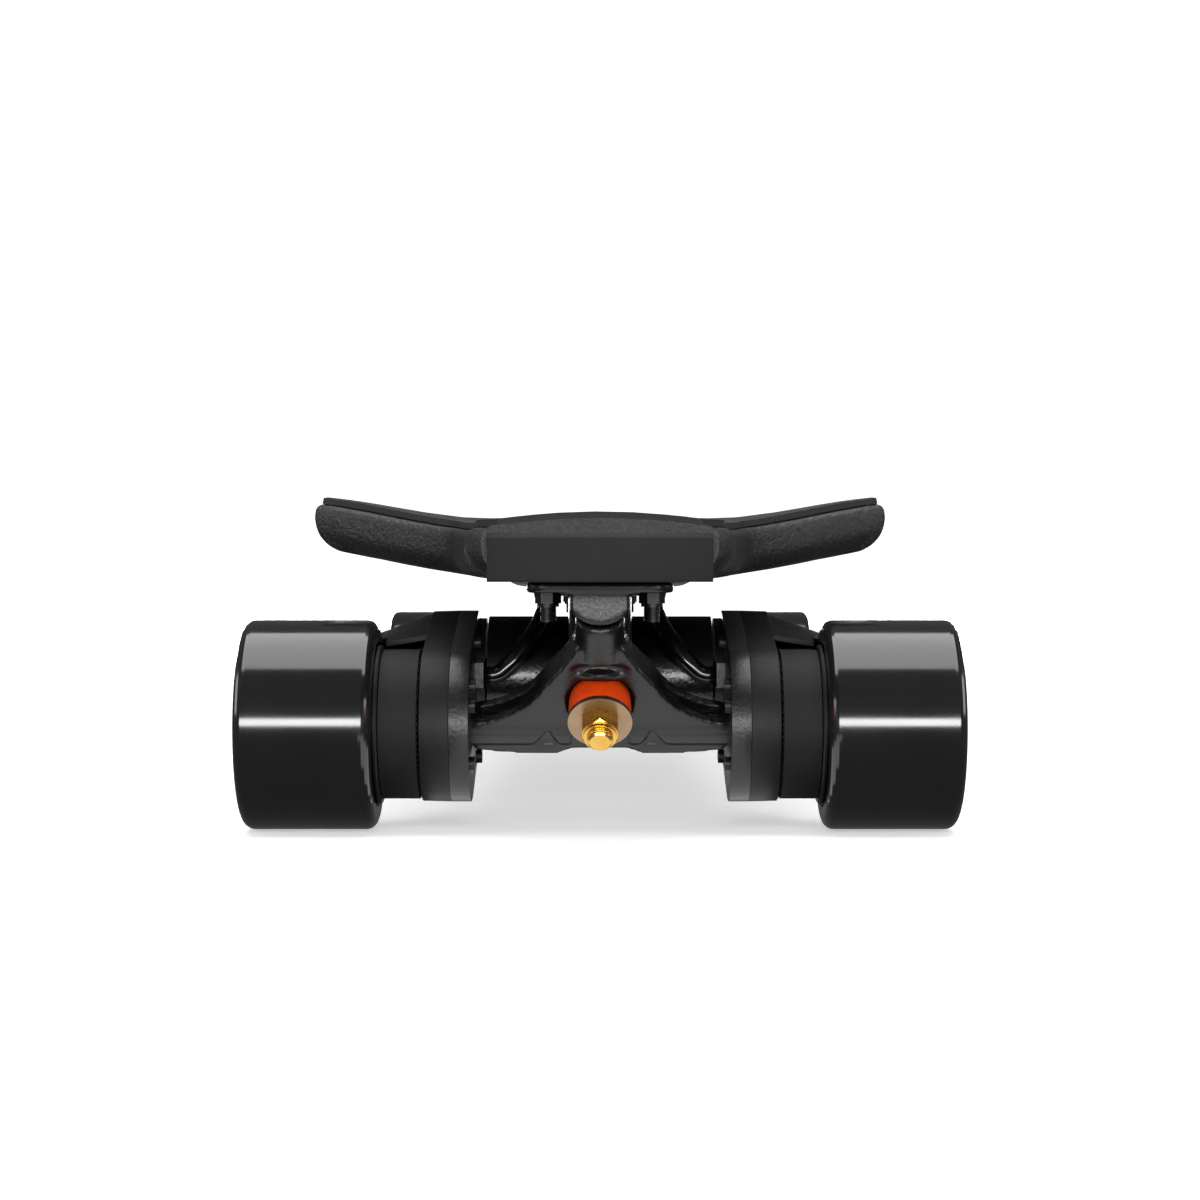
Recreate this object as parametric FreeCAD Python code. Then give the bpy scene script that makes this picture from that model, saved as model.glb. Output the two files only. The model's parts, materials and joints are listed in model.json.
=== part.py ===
"""Electric skateboard: a cambered composite deck on two reverse-kingpin trucks, the rear one belt driven.

Frame: +Y points to the nose, +X to the rider's right, +Z up. The origin is on the ground, midway
between the trucks. All lengths are millimetres. A truck is modelled with its axle over Y = 0 and its
outboard side towards +Y, then moved to the front, or turned half round for the rear.
"""
import FreeCAD, Part
import math
import os

V = FreeCAD.Vector

# ---- driving dimensions ---------------------------------------------------------------------------
WHEELBASE = 720.0
DECK_HALF_LENGTH = 474.0
BUMPER_DEPTH = 6.0
WHEEL_RADIUS = 42.5
TYRE_INNER_X = 90.0
TYRE_WIDTH = 54.0
AXLE_RADIUS = 4.0
HANGER_HALF = 98.5

MOUNT_PLANE_Z = 99.8          # underside of the deck where a truck is bolted on
DECK_END_Z = 100.0            # lowest line of the deck at its ends
CAMBER = 4.0                  # how much higher the deck's middle is
DECK_THICKNESS = 21.8
GRIP_GAP = 0.2                # glue line under the grip pad
GRIP_THICKNESS = 2.4
GRIP_INSET = 3.0
GRIP_HALF_LENGTH = 471.0

STEER_ANGLE = math.radians(50.0)   # steering axis above the horizontal
RING_DISTANCE = 18.3               # from the axle to the kingpin, along the steering axis
BUSHING_RADIUS = 12.2
KINGPIN_RADIUS = 4.9
PIVOT_DISTANCE = 44.0              # from the kingpin to the centre of the pivot ball

BOLT_X = 20.65
BOLT_YS = (45.0, -18.5)
BOLT_RADIUS = 2.45

BELT_PITCH = 5.0
BELT_TEETH = 51
WHEEL_TEETH = 36
MOTOR_TEETH = 14
PITCH_LINE = 0.5715                # belt's pitch line above the pulley's tips
BELT_BACK = 1.75
BELT_INNER_X = 72.8
BELT_WIDTH = 15.0
MOTOR_RISE = 17.5                  # motor shaft above the axle
MOTOR_RADIUS = 26.0

MOUNT_INNER_X = 52.0
MOUNT_OUTER_X = 60.0
COVER_WHEEL_R = 31.3
COVER_MOTOR_R = 28.5
COVER_WALL = 2.0
COVER_OUTER_X = 97.0
DRAFT = 0.3                        # how much the guard's rim tapers

CELL_RADIUS = 9.15
CELL_LENGTH = 65.0
CELL_COLUMNS = 4
CELL_ROWS = 6

CABLE_RADIUS = 3.7
CABLE_START_Z = 93.5

# ---- worked out from them -------------------------------------------------------------------------
AXLE_Y = WHEELBASE / 2
AXLE_Z = WHEEL_RADIUS
STEER = V(0, math.cos(STEER_ANGLE), math.sin(STEER_ANGLE))
KING = V(0, math.sin(STEER_ANGLE), -math.cos(STEER_ANGLE))
X_AXIS = V(1, 0, 0)
Z_AXIS = V(0, 0, 1)
AXLE = V(0, 0, AXLE_Z)
RING = AXLE + STEER * RING_DISTANCE
PIVOT = RING + STEER * PIVOT_DISTANCE
COVER_TOP_Z = DECK_END_Z + CAMBER + 1.2    # flat land that the bay lids sit on
LID_THICKNESS = 1.8


# ---- small helpers --------------------------------------------------------------------------------
def box(x0, x1, y0, y1, z0, z1):
    return Part.makeBox(x1 - x0, y1 - y0, z1 - z0, V(x0, y0, z0))


def rod(radius, start, direction, length):
    return Part.makeCylinder(radius, length, start, direction)


def tube(outer, inner, start, direction, length):
    return rod(outer, start, direction, length).cut(rod(inner, start, direction, length))


def joined(first, *others):
    return first.multiFuse(list(others)).removeSplitter()


def cut_all(shape, *tools):
    return shape.cut(list(tools))


def mirrored(shape):
    return shape.mirror(V(0, 0, 0), X_AXIS)


def both_sides(shape):
    return [shape, mirrored(shape)]


def turned(shape, centre, axis, degrees):
    copy = shape.copy()
    copy.rotate(centre, axis, degrees)
    return copy


def prism(points, push):
    """A straight prism from a closed polygon."""
    return Part.Face(Part.makePolygon(list(points) + [points[0]])).extrude(push)


def hexagon(flats, start, direction, length, across):
    """Hexagonal prism. across is a direction in its end face, towards one corner."""
    corner = flats / math.sqrt(3)
    side = direction.cross(across)
    points = []
    for i in range(6):
        a = math.radians(60 * i)
        points.append(start + across * (corner * math.cos(a)) + side * (corner * math.sin(a)))
    return prism(points, direction * length)


def turned_profile(points):
    """Solid of revolution about the X axis from (x, radius) points, moved onto the axle."""
    outline = [V(x, 0, r) for x, r in points]
    face = Part.Face(Part.makePolygon(outline + [outline[0]]))
    solid = face.revolve(V(0, 0, 0), X_AXIS, 360)
    solid.translate(AXLE)
    return solid


def smooth(u):
    u = min(1.0, max(0.0, u))
    return u * u * (3 - 2 * u)


def at_front(shape):
    copy = shape.copy()
    copy.translate(V(0, AXLE_Y, 0))
    return copy


def at_rear(shape):
    return turned(at_front(shape), V(0, 0, 0), Z_AXIS, 180)


def export(name, *solids):
    Part.makeCompound(list(solids)).exportStep(f"parts/{name}.step")


# ---- deck -----------------------------------------------------------------------------------------
WAIST = 116.0                 # half width at the middle
WIDEST = 120.3                # half width at the shoulders
WIDEST_Y = 240.0
SHOULDER_LENGTH = 42.0        # how far a shoulder takes to come in to the neck
NOSE = {"shoulder_y": 296.0, "neck": 68.0, "end": 50.5, "bumper": 47.8}
TAIL = {"shoulder_y": 321.0, "neck": 60.0, "end": 43.0, "bumper": 40.8}
EDGE_BELOW = 11.0             # rounding under the deck's edge
EDGE_ABOVE = 4.0              # rounding over it


def deck_end(y):
    return NOSE if y > 0 else TAIL


def half_width(y):
    """Half the deck's width: waisted, square shoulders beside the wheels, narrow nose and tail."""
    end, a = deck_end(y), abs(y)
    broad = WAIST + (WIDEST - WAIST) * smooth(a / WIDEST_Y)
    past = a - end["shoulder_y"]
    neck_length = DECK_HALF_LENGTH - end["shoulder_y"] - SHOULDER_LENGTH
    narrow = end["neck"] + (end["end"] - end["neck"]) * max(0.0, (past - SHOULDER_LENGTH) / neck_length)
    # a tight outer corner, then a wider curve into the neck
    inward = smooth(max(0.0, past / SHOULDER_LENGTH) ** 0.65)
    return broad + (narrow - broad) * inward


def edge_slope(y):
    """How far from straight the outline runs at y: 1 where it is parallel to the board."""
    step = 0.5
    slope = (half_width(y + step) - half_width(y - step)) / (2 * step)
    return math.sqrt(1 + slope * slope)


def camber_z(y):
    return DECK_END_Z + CAMBER * (1 - smooth((abs(y) - 288.0) / 82.0))


def underside(x, y):
    return camber_z(y) + 10.0 * (abs(x) / 105.0) ** 2.2


def topside(x, y):
    """A low hump along the middle, a gutter each side, then raised rails. Nose and tail are crowned."""
    hump = 0.8 * math.cos(math.pi * min(abs(x), 60.0) / 120.0) ** 2
    rail = 9.6 * smooth((abs(x) - 47.0) / 82.0)
    crown = 2.6 * smooth((abs(y) - 350.0) / 90.0) * (x / half_width(y)) ** 2
    return camber_z(y) + DECK_THICKNESS + hump + rail - crown


def rounding(x, width, radius):
    """How far a surface turns in over the last stretch, radius long, before the edge."""
    inside = (abs(x) - (width - radius)) / radius
    if inside <= 0:
        return 0.0
    return 1 - math.sqrt(max(0.0, 1 - inside * inside))


LOWER_SHARES = (0.0, 0.3, 0.55, 0.75, 0.87)
SIDE_LOW_SHARES = (0.87, 0.92, 0.955, 0.985)
SIDE_HIGH_SHARES = (0.99, 0.975, 0.955)
UPPER_SHARES = (0.955, 0.9, 0.82, 0.72, 0.6, 0.45, 0.25, 0.0)


def body_section(y):
    """Right half of the body's outline at y: underside, side and top, each as a list of points."""
    width = half_width(y)
    below = min(EDGE_BELOW * edge_slope(y), 0.4 * width)
    above = min(EDGE_ABOVE * edge_slope(y), 0.14 * width)

    def low(share):
        x = share * width
        return V(x, y, underside(x, y) + EDGE_BELOW * rounding(x, width, below))

    def high(share):
        x = share * width
        return V(x, y, topside(x, y) - EDGE_ABOVE * rounding(x, width, above))

    middle = (underside(width, y) + EDGE_BELOW + topside(width, y) - EDGE_ABOVE) / 2
    side = [low(s) for s in SIDE_LOW_SHARES] + [V(width, y, middle)] + [high(s) for s in SIDE_HIGH_SHARES]
    return [low(s) for s in LOWER_SHARES], side, [high(s) for s in UPPER_SHARES]


def pad_section(y):
    """Closed outline of the grip pad at y."""
    width = half_width(y) - GRIP_INSET * edge_slope(y)
    shares = (0.0, 0.3, 0.5, 0.64, 0.74, 0.82, 0.88, 0.93, 0.965, 0.99, 1.0)
    low = [V(s * width, y, topside(s * width, y) + GRIP_GAP) for s in shares]
    lift = GRIP_GAP + GRIP_THICKNESS
    high = [V(s * width, y, topside(s * width, y) + lift) for s in reversed(shares)]
    # the edge leans in a little, so the outline never doubles back on itself
    high[0] = V(width - 0.5, y, high[0].z)
    return low, high


SHOULDER_STEPS = (-0.3, -0.1, -0.03, 0.0, 0.03, 0.07, 0.13, 0.22, 0.33, 0.46, 0.6, 0.75, 0.9, 1.1)


def station_list():
    """Where the deck is measured: close together through the shoulders, wider elsewhere."""
    found = [-DECK_HALF_LENGTH, DECK_HALF_LENGTH]
    for end, sign in ((NOSE, 1), (TAIL, -1)):
        start = end["shoulder_y"]
        found += [sign * (start + step * SHOULDER_LENGTH) for step in SHOULDER_STEPS]
        last = start + SHOULDER_STEPS[-1] * SHOULDER_LENGTH
        found += [sign * (last + share * (DECK_HALF_LENGTH - last)) for share in (0.3, 0.6, 0.88)]
        found += [sign * y for y in (40, 120, 190, 245)]
    return sorted(set(found))


def spline_edge(points):
    curve = Part.BSplineCurve()
    curve.interpolate(points)
    return curve.toShape()


def flipped(points):
    return [V(-p.x, p.y, p.z) for p in reversed(points)]


def deck_loft():
    wires = []
    for y in station_list():
        under, side, over = body_section(y)
        wires.append(Part.Wire([
            spline_edge(flipped(under)[:-1] + under),
            spline_edge(side),
            spline_edge(over + flipped(over)[1:]),
            spline_edge(flipped(side)),
        ]))
    return Part.makeLoft(wires, True, False)


def grip_loft():
    wires = []
    for y in station_list():
        low, high = pad_section(y)
        bottom = flipped(low)[:-1] + low
        top = high + flipped(high)[1:]
        wires.append(Part.Wire([
            spline_edge(bottom),
            Part.LineSegment(bottom[-1], top[0]).toShape(),
            spline_edge(top),
            Part.LineSegment(top[-1], bottom[0]).toShape(),
        ]))
    return Part.makeLoft(wires, True, False)


# bays in the underside, as (half width, rear end, front end)
CELL_PITCH_X = 2 * CELL_RADIUS + 0.3
CELL_PITCH_Y = CELL_LENGTH + 1.0
BATTERY_REAR = -160.0
BATTERY_FRONT = BATTERY_REAR + CELL_ROWS * CELL_PITCH_Y
BAY_HALF = 38.6
BAY_TOP_Z = COVER_TOP_Z + 19.2
CONTROL_REAR = -252.0
CONTROL_FRONT = -176.0
LID_HALF = 50.0
LID_LAP = 9.0
LIDS = {
    "battery": (BATTERY_REAR - 6.0, BATTERY_FRONT + LID_LAP),
    "controller": (CONTROL_REAR - LID_LAP, BATTERY_REAR - 6.4),
}
LID_SCREW_X = 44.5
POD_Y = -205.0
POD_X = 66.0
POD_RADIUS = 12.5
POD_Z = 110.8                 # floor of the two round wells that hold the button and the socket
BUTTON_RADIUS = 6.0
SOCKET_MOUTH = 5.2
MOUTH_DEPTH = 2.3
SOCKET_BORE = 4.0
SOCKET_DEPTH = 10.0
GLAND_X = 23.4
GLAND_Y = -AXLE_Y + 46.3
TRUCK_PAD = (29.0, -39.6, 53.0)     # half width, inboard end, outboard end


def lid_screw_spots():
    spots = []
    for name, count in (("battery", 5), ("controller", 2)):
        rear, front = LIDS[name]
        for i in range(count):
            y = rear + 8 + i * (front - rear - 16) / (count - 1)
            spots += [(-LID_SCREW_X, y), (LID_SCREW_X, y)]
    return spots


def lid_screw(x, y):
    """Countersunk screw, head flush with the lid's face."""
    face = COVER_TOP_Z - LID_THICKNESS
    head = Part.makeCone(2.9, 1.45, 1.45, V(x, y, face), Z_AXIS)
    shank = rod(1.45, V(x, y, face + 1.45), Z_AXIS, 6.5)
    socket = hexagon(2.0, V(x, y, face), Z_AXIS, 1.0, X_AXIS)
    return head.fuse(shank).cut(socket)


def lid_screw_hole(x, y):
    face = COVER_TOP_Z - LID_THICKNESS
    head = Part.makeCone(2.95, 1.5, 1.45, V(x, y, face), Z_AXIS)
    return head.fuse(rod(1.5, V(x, y, face + 1.45), Z_AXIS, 6.7))


def truck_bolt(x, y):
    """Countersunk truck bolt, its head showing through the grip pad."""
    top = DECK_END_Z + DECK_THICKNESS + 2.2
    head = Part.makeCone(BOLT_RADIUS, 4.9, 3.0, V(x, y, top - 3.0), Z_AXIS)
    shank = rod(BOLT_RADIUS, V(x, y, 84.4), Z_AXIS, top - 3.0 - 84.4)
    socket = hexagon(3.0, V(x, y, top - 1.8), Z_AXIS, 2.0, X_AXIS)
    return head.fuse(shank).cut(socket)


def truck_bolt_hole(x, y):
    top = DECK_END_Z + DECK_THICKNESS + 2.2
    shank, head = BOLT_RADIUS + 0.1, 5.0
    outline = [V(0, 0, 80), V(shank, 0, 80), V(shank, 0, top - 3), V(head, 0, top),
               V(head, 0, top + 6), V(0, 0, top + 6)]
    tool = Part.Face(Part.makePolygon(outline + [outline[0]])).revolve(V(0, 0, 0), Z_AXIS, 360)
    # the seam is turned off the deck's own lines, which keeps the cut sound
    tool.rotate(V(0, 0, 0), Z_AXIS, 30)
    tool.translate(V(x, y, 0))
    return tool


def bolt_spots():
    return [(x, y) for y in BOLT_YS for x in (-BOLT_X, BOLT_X)]


def truck_pads():
    half, inner, outer = TRUCK_PAD
    pad = box(-half, half, inner, outer, MOUNT_PLANE_Z, MOUNT_PLANE_Z + 5)
    pad = pad.makeFillet(7, [e for e in pad.Edges if abs(e.tangentAt(0).z) > 0.9])
    return [at_front(pad), at_rear(pad)]


def deck_body():
    body = deck_loft()
    body = joined(body, *truck_pads())
    land = [box(-LID_HALF - 0.3, LID_HALF + 0.3, rear - 0.3, front + 0.3, 90, COVER_TOP_Z)
            for rear, front in LIDS.values()]
    bays = [
        box(-BAY_HALF, BAY_HALF, BATTERY_REAR, BATTERY_FRONT, 100, BAY_TOP_Z),
        box(-BAY_HALF, BAY_HALF, CONTROL_REAR, CONTROL_FRONT, 100, BAY_TOP_Z),
        box(-12, 12, CONTROL_FRONT - 2, BATTERY_REAR + 2, 100, COVER_TOP_Z + 9),
    ]
    holes = [lid_screw_hole(x, y) for x, y in lid_screw_spots()]
    for x, y in bolt_spots():
        holes += [at_front(truck_bolt_hole(x, y)), at_rear(truck_bolt_hole(x, y))]
    for x in (-GLAND_X, GLAND_X):
        holes.append(rod(5.0, V(x, GLAND_Y, 90), Z_AXIS, 22))
        holes.append(rod(5.0, V(x, GLAND_Y - 5, 111), V(0, 1, 0), CONTROL_REAR - GLAND_Y + 8))
    for x in (-POD_X, POD_X):
        holes.append(rod(POD_RADIUS, V(x, POD_Y, 90), Z_AXIS, POD_Z - 90))
    holes.append(box(-POD_X - 15.4, -POD_X, POD_Y - 4.2, POD_Y + 4.2, 90, POD_Z))
    holes.append(rod(8.05, V(-POD_X, POD_Y, POD_Z - 1), Z_AXIS, SOCKET_DEPTH + MOUTH_DEPTH + 2.2))
    holes.append(rod(8.05, V(POD_X, POD_Y, POD_Z - 1), Z_AXIS, 9.2))
    for tool in land + bays + holes:
        body = body.cut(tool)
    return body


def grip_pad():
    holes = []
    for x, y in bolt_spots():
        hole = rod(5.4, V(x, y, 115), Z_AXIS, 20)
        holes += [at_front(hole), at_rear(hole)]
    trimmed = grip_loft().common(box(-130, 130, -GRIP_HALF_LENGTH, GRIP_HALF_LENGTH, 90, 150))
    return cut_all(trimmed, *holes)


def bumper(end):
    """Rubber bumper across an end: bowed front face, a sloping band along its top."""
    half, back = end["bumper"], DECK_HALF_LENGTH
    bottom, top, bow = DECK_END_Z - 0.5, DECK_END_Z + 17.2, BUMPER_DEPTH - 2.0
    front_side = V(half, back + 2.0, bottom)
    outline = Part.Wire([
        Part.LineSegment(V(-half, back, bottom), V(half, back, bottom)).toShape(),
        Part.LineSegment(V(half, back, bottom), front_side).toShape(),
        Part.Arc(front_side, V(0, back + 2.0 + bow, bottom), V(-half, back + 2.0, bottom)).toShape(),
        Part.LineSegment(V(-half, back + 2.0, bottom), V(-half, back, bottom)).toShape(),
    ])
    block = Part.Face(outline).extrude(V(0, 0, top - bottom))
    front = [e for e in block.Edges if e.Curve.TypeId == "Part::GeomCircle"]
    rims = [e for e in front if e.BoundBox.ZMax > top - 0.1]
    block = block.makeChamfer(1.8, rims)
    lower = [e for e in block.Edges
             if e.Curve.TypeId == "Part::GeomCircle" and e.BoundBox.ZMax < bottom + 0.1]
    return block.makeFillet(0.8, lower)


def lid(name):
    rear, front = LIDS[name]
    plate = box(-LID_HALF, LID_HALF, rear, front, COVER_TOP_Z - LID_THICKNESS, COVER_TOP_Z)
    plate = plate.makeFillet(6.0, [e for e in plate.Edges if abs(e.tangentAt(0).z) > 0.9])
    rim = [e for e in plate.Edges if e.BoundBox.ZMax < COVER_TOP_Z - LID_THICKNESS + 0.01]
    plate = plate.makeFillet(0.8, rim)
    holes = [lid_screw_hole(x, y) for x, y in lid_screw_spots() if rear < y < front]
    return cut_all(plate, *holes)


def cell_spots():
    for row in range(CELL_ROWS):
        for column in range(CELL_COLUMNS):
            x = (column - (CELL_COLUMNS - 1) / 2) * CELL_PITCH_X
            yield x, BATTERY_REAR + 0.5 + row * CELL_PITCH_Y


def battery_cells():
    z = COVER_TOP_Z + 0.3 + CELL_RADIUS
    return [rod(CELL_RADIUS, V(x, y, z), V(0, 1, 0), CELL_LENGTH) for x, y in cell_spots()]


def battery_board():
    """Protection board in the slot between the bays, with its row of parts."""
    z = COVER_TOP_Z + 1.0
    board = box(-11, 11, CONTROL_FRONT + 1, BATTERY_REAR - 1, z, z + 1.6)
    parts = [box(x, x + 3.4, CONTROL_FRONT + 4, CONTROL_FRONT + 9, z + 1.6, z + 4.0)
             for x in (-9.0, -4.5, 0.5, 5.5)]
    return joined(board, *parts)


def motor_controller():
    """Finned alloy box that holds the motor drive electronics."""
    z = COVER_TOP_Z + 0.6
    case = box(-36, 36, CONTROL_REAR + 2, CONTROL_FRONT - 2, z, z + 16.5)
    grooves = [box(x, x + 2.0, CONTROL_REAR + 6, CONTROL_FRONT - 6, z + 13.0, z + 17)
               for x in range(-32, 32, 6)]
    return cut_all(case, *grooves)


def power_leads():
    """Two short leads from the pack to the controller, over the protection board."""
    z = COVER_TOP_Z + 6.9
    length = BATTERY_REAR - CONTROL_FRONT + 2.4
    return [rod(1.8, V(x, CONTROL_FRONT - 2.0, z), V(0, 1, 0), length) for x in (-6.0, 6.0)]


def charge_socket():
    shell = rod(8.0, V(-POD_X, POD_Y, POD_Z), Z_AXIS, SOCKET_DEPTH + MOUTH_DEPTH + 1.0)
    mouth = rod(SOCKET_MOUTH, V(-POD_X, POD_Y, POD_Z), Z_AXIS, MOUTH_DEPTH)
    bore = rod(SOCKET_BORE, V(-POD_X, POD_Y, POD_Z), Z_AXIS, SOCKET_DEPTH + MOUTH_DEPTH)
    return cut_all(shell, mouth, bore)


CAP_HINGE = V(-POD_X - 14.0, POD_Y, POD_Z - 0.9)


def charge_cap():
    """Rubber cap on a live hinge beside the socket, with a short plug in the socket's mouth."""
    disc = rod(9.0, V(-POD_X, POD_Y, POD_Z - 1.6), Z_AXIS, 1.5)
    plug = rod(SOCKET_MOUTH - 0.5, V(-POD_X, POD_Y, POD_Z - 0.2), Z_AXIS, 2.0)
    tongue = box(CAP_HINGE.x, -POD_X - 5, POD_Y - 3, POD_Y + 3, POD_Z - 1.6, POD_Z - 0.2)
    bead = rod(0.8, CAP_HINGE - V(0, 3.8, 0), V(0, 1, 0), 7.6)
    pull = box(-POD_X + 7, -POD_X + 11.5, POD_Y - 2.5, POD_Y + 2.5, POD_Z - 1.6, POD_Z - 0.4)
    return joined(disc, plug, tongue, bead, pull)


def button_bezel():
    return joined(
        tube(8.0, BUTTON_RADIUS + 0.3, V(POD_X, POD_Y, POD_Z - 0.4), Z_AXIS, 7.0),
        rod(8.0, V(POD_X, POD_Y, POD_Z + 6.0), Z_AXIS, 1.8),
    )


def power_button():
    cap = rod(BUTTON_RADIUS, V(POD_X, POD_Y, POD_Z - 1.2), Z_AXIS, 4.6)
    rim = [e for e in cap.Edges if e.BoundBox.ZMax < POD_Z - 1.19]
    return cap.makeFillet(0.6, rim)


def cable_gland(x):
    """Tapered rubber boot where a motor cable leaves the deck."""
    spot, flare = V(x, GLAND_Y, CABLE_START_Z), 6.5
    boot = Part.makeCone(CABLE_RADIUS + 0.5, 5.8, flare, spot, Z_AXIS)
    collar_top = camber_z(GLAND_Y) - 0.9
    collar = rod(5.8, spot + Z_AXIS * flare, Z_AXIS, collar_top - CABLE_START_Z - flare)
    stem = rod(4.9, spot + Z_AXIS * flare, Z_AXIS, 10.5)
    return joined(boot, collar, stem)


# ---- truck, fixed half ----------------------------------------------------------------------------
RING_HALF = 6.0               # half the thickness of the hanger round the kingpin
SEAT_DEPTH = 2.0
BUSHING_LENGTH = 13.5
SEAT_AT = -(RING_HALF - SEAT_DEPTH + 12.0)    # far end of the boardside bushing, along the kingpin
WASHER = 2.0
KING_HEAD_AT = -44.0
KING_END_AT = 30.5
PLATE = {"half": 28.7, "inner": -40.0, "outer": 52.0, "thick": 4.0}
PIVOT_BALL = 5.0
CUP_RADIUS = 7.4
CUP_LIP = 2.6                 # how far the cup reaches back over the ball
HOUSING_HALF = 11.4
STEM_RADIUS = 9.8
STEM_LENGTH = 40.0            # from the kingpin to the stem's shoulder


def along_king(t):
    return RING + KING * t


def baseplate():
    """Bolt-on plate with the kingpin's seat and the housing of the pivot cup."""
    p, top = PLATE, MOUNT_PLANE_Z
    plate = box(-p["half"], p["half"], p["inner"], p["outer"], top - p["thick"], top)
    plate = plate.makeFillet(8, [e for e in plate.Edges if abs(e.tangentAt(0).z) > 0.9])
    rim = [e for e in plate.Edges if e.BoundBox.ZMax < top - p["thick"] + 0.01]
    plate = plate.makeFillet(1.2, rim)
    seat_start = along_king(SEAT_AT - WASHER)
    seat = rod(13.2, seat_start, KING * -1, 48)
    shin = prism([V(-9, -34, top), V(-9, 27, top), V(-9, 22, 86), V(-9, 8, 80.0),
                  V(-9, seat_start.y, seat_start.z), V(-9, -16, 80)], X_AXIS * 18)
    bowl = Part.Arc(V(-HOUSING_HALF, 24, 88.5), V(0, 24, 83.2), V(HOUSING_HALF, 24, 88.5)).toShape()
    sides = Part.makePolygon([V(HOUSING_HALF, 24, 88.5), V(HOUSING_HALF, 24, top),
                              V(-HOUSING_HALF, 24, top), V(-HOUSING_HALF, 24, 88.5)])
    housing = Part.Face(Part.Wire([bowl] + sides.Edges)).extrude(V(0, 27, 0))
    bulk = joined(plate, seat, shin, housing)
    bulk = bulk.common(box(-60, 60, -60, 60, 40, top))
    cuts = [rod(BOLT_RADIUS + 0.3, V(x, y, 80), Z_AXIS, 30) for x, y in bolt_spots()]
    cuts += [rod(5.6, V(x, y, 60), Z_AXIS, top - p["thick"] - 60) for x, y in bolt_spots()]
    cuts.append(rod(KINGPIN_RADIUS + 0.02, seat_start, KING * -1, 60))
    cuts.append(rod(14.2, seat_start, KING, 26))
    cuts.append(rod(8.6, along_king(KING_HEAD_AT + 6), KING * -1, 30))
    cuts.append(rod(STEM_RADIUS + 0.8, RING + STEER * 16, STEER, STEM_LENGTH - 16 + 1.2))
    cuts.append(rod(6.4, RING + STEER * 20, STEER, PIVOT_DISTANCE - 20 - 4))
    cuts.append(rod(CUP_RADIUS, RING + STEER * 30, STEER, PIVOT_DISTANCE - 30 + 5.5))
    return cut_all(bulk, *cuts)


def pivot_cup():
    """Urethane socket that the hanger's pivot ball turns in."""
    start = RING + STEER * (PIVOT_DISTANCE - CUP_LIP)
    cup = rod(CUP_RADIUS, start, STEER, CUP_LIP + 5.5)
    cup = cup.cut(Part.makeSphere(PIVOT_BALL + 0.1, PIVOT))
    return cup.cut(rod(PIVOT_BALL + 0.1, RING + STEER * 30, STEER, PIVOT_DISTANCE - 30))


def kingpin():
    shank = rod(KINGPIN_RADIUS, along_king(KING_HEAD_AT + 6), KING, KING_END_AT - KING_HEAD_AT - 6)
    tip = shank.makeChamfer(0.8, [e for e in shank.Edges
                                  if e.BoundBox.ZMax < along_king(KING_END_AT).z + 4
                                  and e.Curve.TypeId == "Part::GeomCircle"])
    return tip.fuse(hexagon(14.0, along_king(KING_HEAD_AT), KING, 6.0, X_AXIS)).removeSplitter()


def cup_washer(start, direction):
    """Dished washer whose rim laps over a bushing, with direction pointing at the bushing."""
    profile = [V(5.1, 0, 0), V(12.85, 0, 0.0), V(12.85, 0, WASHER), V(12.35, 0, WASHER),
               V(12.0, 0, 1.4), V(5.1, 0, 1.4)]
    face = Part.Face(Part.makePolygon(profile + [profile[0]]))
    ring = face.revolve(V(0, 0, 0), Z_AXIS, 360)
    ring.Placement = FreeCAD.Placement(start, FreeCAD.Rotation(Z_AXIS, direction))
    return ring


def bushing(start, direction, length):
    """Barrel of urethane round the kingpin."""
    plan = [V(5.3, 0, 0), V(BUSHING_RADIUS - 0.5, 0, 0), V(BUSHING_RADIUS, 0, 1.0),
            V(BUSHING_RADIUS, 0, length - 1.0), V(BUSHING_RADIUS - 0.5, 0, length),
            V(5.3, 0, length)]
    face = Part.Face(Part.makePolygon(plan + [plan[0]]))
    solid = face.revolve(V(0, 0, 0), Z_AXIS, 360)
    solid.Placement = FreeCAD.Placement(start, FreeCAD.Rotation(Z_AXIS, direction))
    return solid


def bushings():
    inner = RING_HALF - SEAT_DEPTH
    roadside = bushing(along_king(inner), KING, BUSHING_LENGTH)
    boardside = bushing(along_king(-inner), KING * -1, 12.0 - 0.6)
    return [boardside, roadside]


def kingpin_fasteners():
    outer = RING_HALF - SEAT_DEPTH + BUSHING_LENGTH
    washers = [cup_washer(along_king(outer + 1.4), KING * -1),
               cup_washer(along_king(SEAT_AT - WASHER), KING)]
    start = along_king(outer + 1.4)
    nut = hexagon(14.0, start, KING, 7.0, STEER)
    # the corners of the nut are turned down at both faces
    shell = Part.makeCone(9.6, 7.1, 2.5, start + KING * 4.5, KING)
    barrel = rod(9.6, start - KING * 0.1, KING, 4.6)
    collar = rod(6.6, start + KING * 6.0, KING, 2.6)
    nut = joined(nut.common(joined(shell, barrel)), collar)
    return washers + [nut.cut(rod(KINGPIN_RADIUS + 0.03, start, KING, 12))]


def truck_nut(x, y):
    top = MOUNT_PLANE_Z - PLATE["thick"]
    body = hexagon(8.0, V(x, y, top - 4.2), Z_AXIS, 4.2, X_AXIS)
    collar = rod(3.7, V(x, y, top - 5.6), Z_AXIS, 1.6)
    return joined(body, collar).cut(rod(BOLT_RADIUS + 0.03, V(x, y, top - 8), Z_AXIS, 10))


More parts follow.
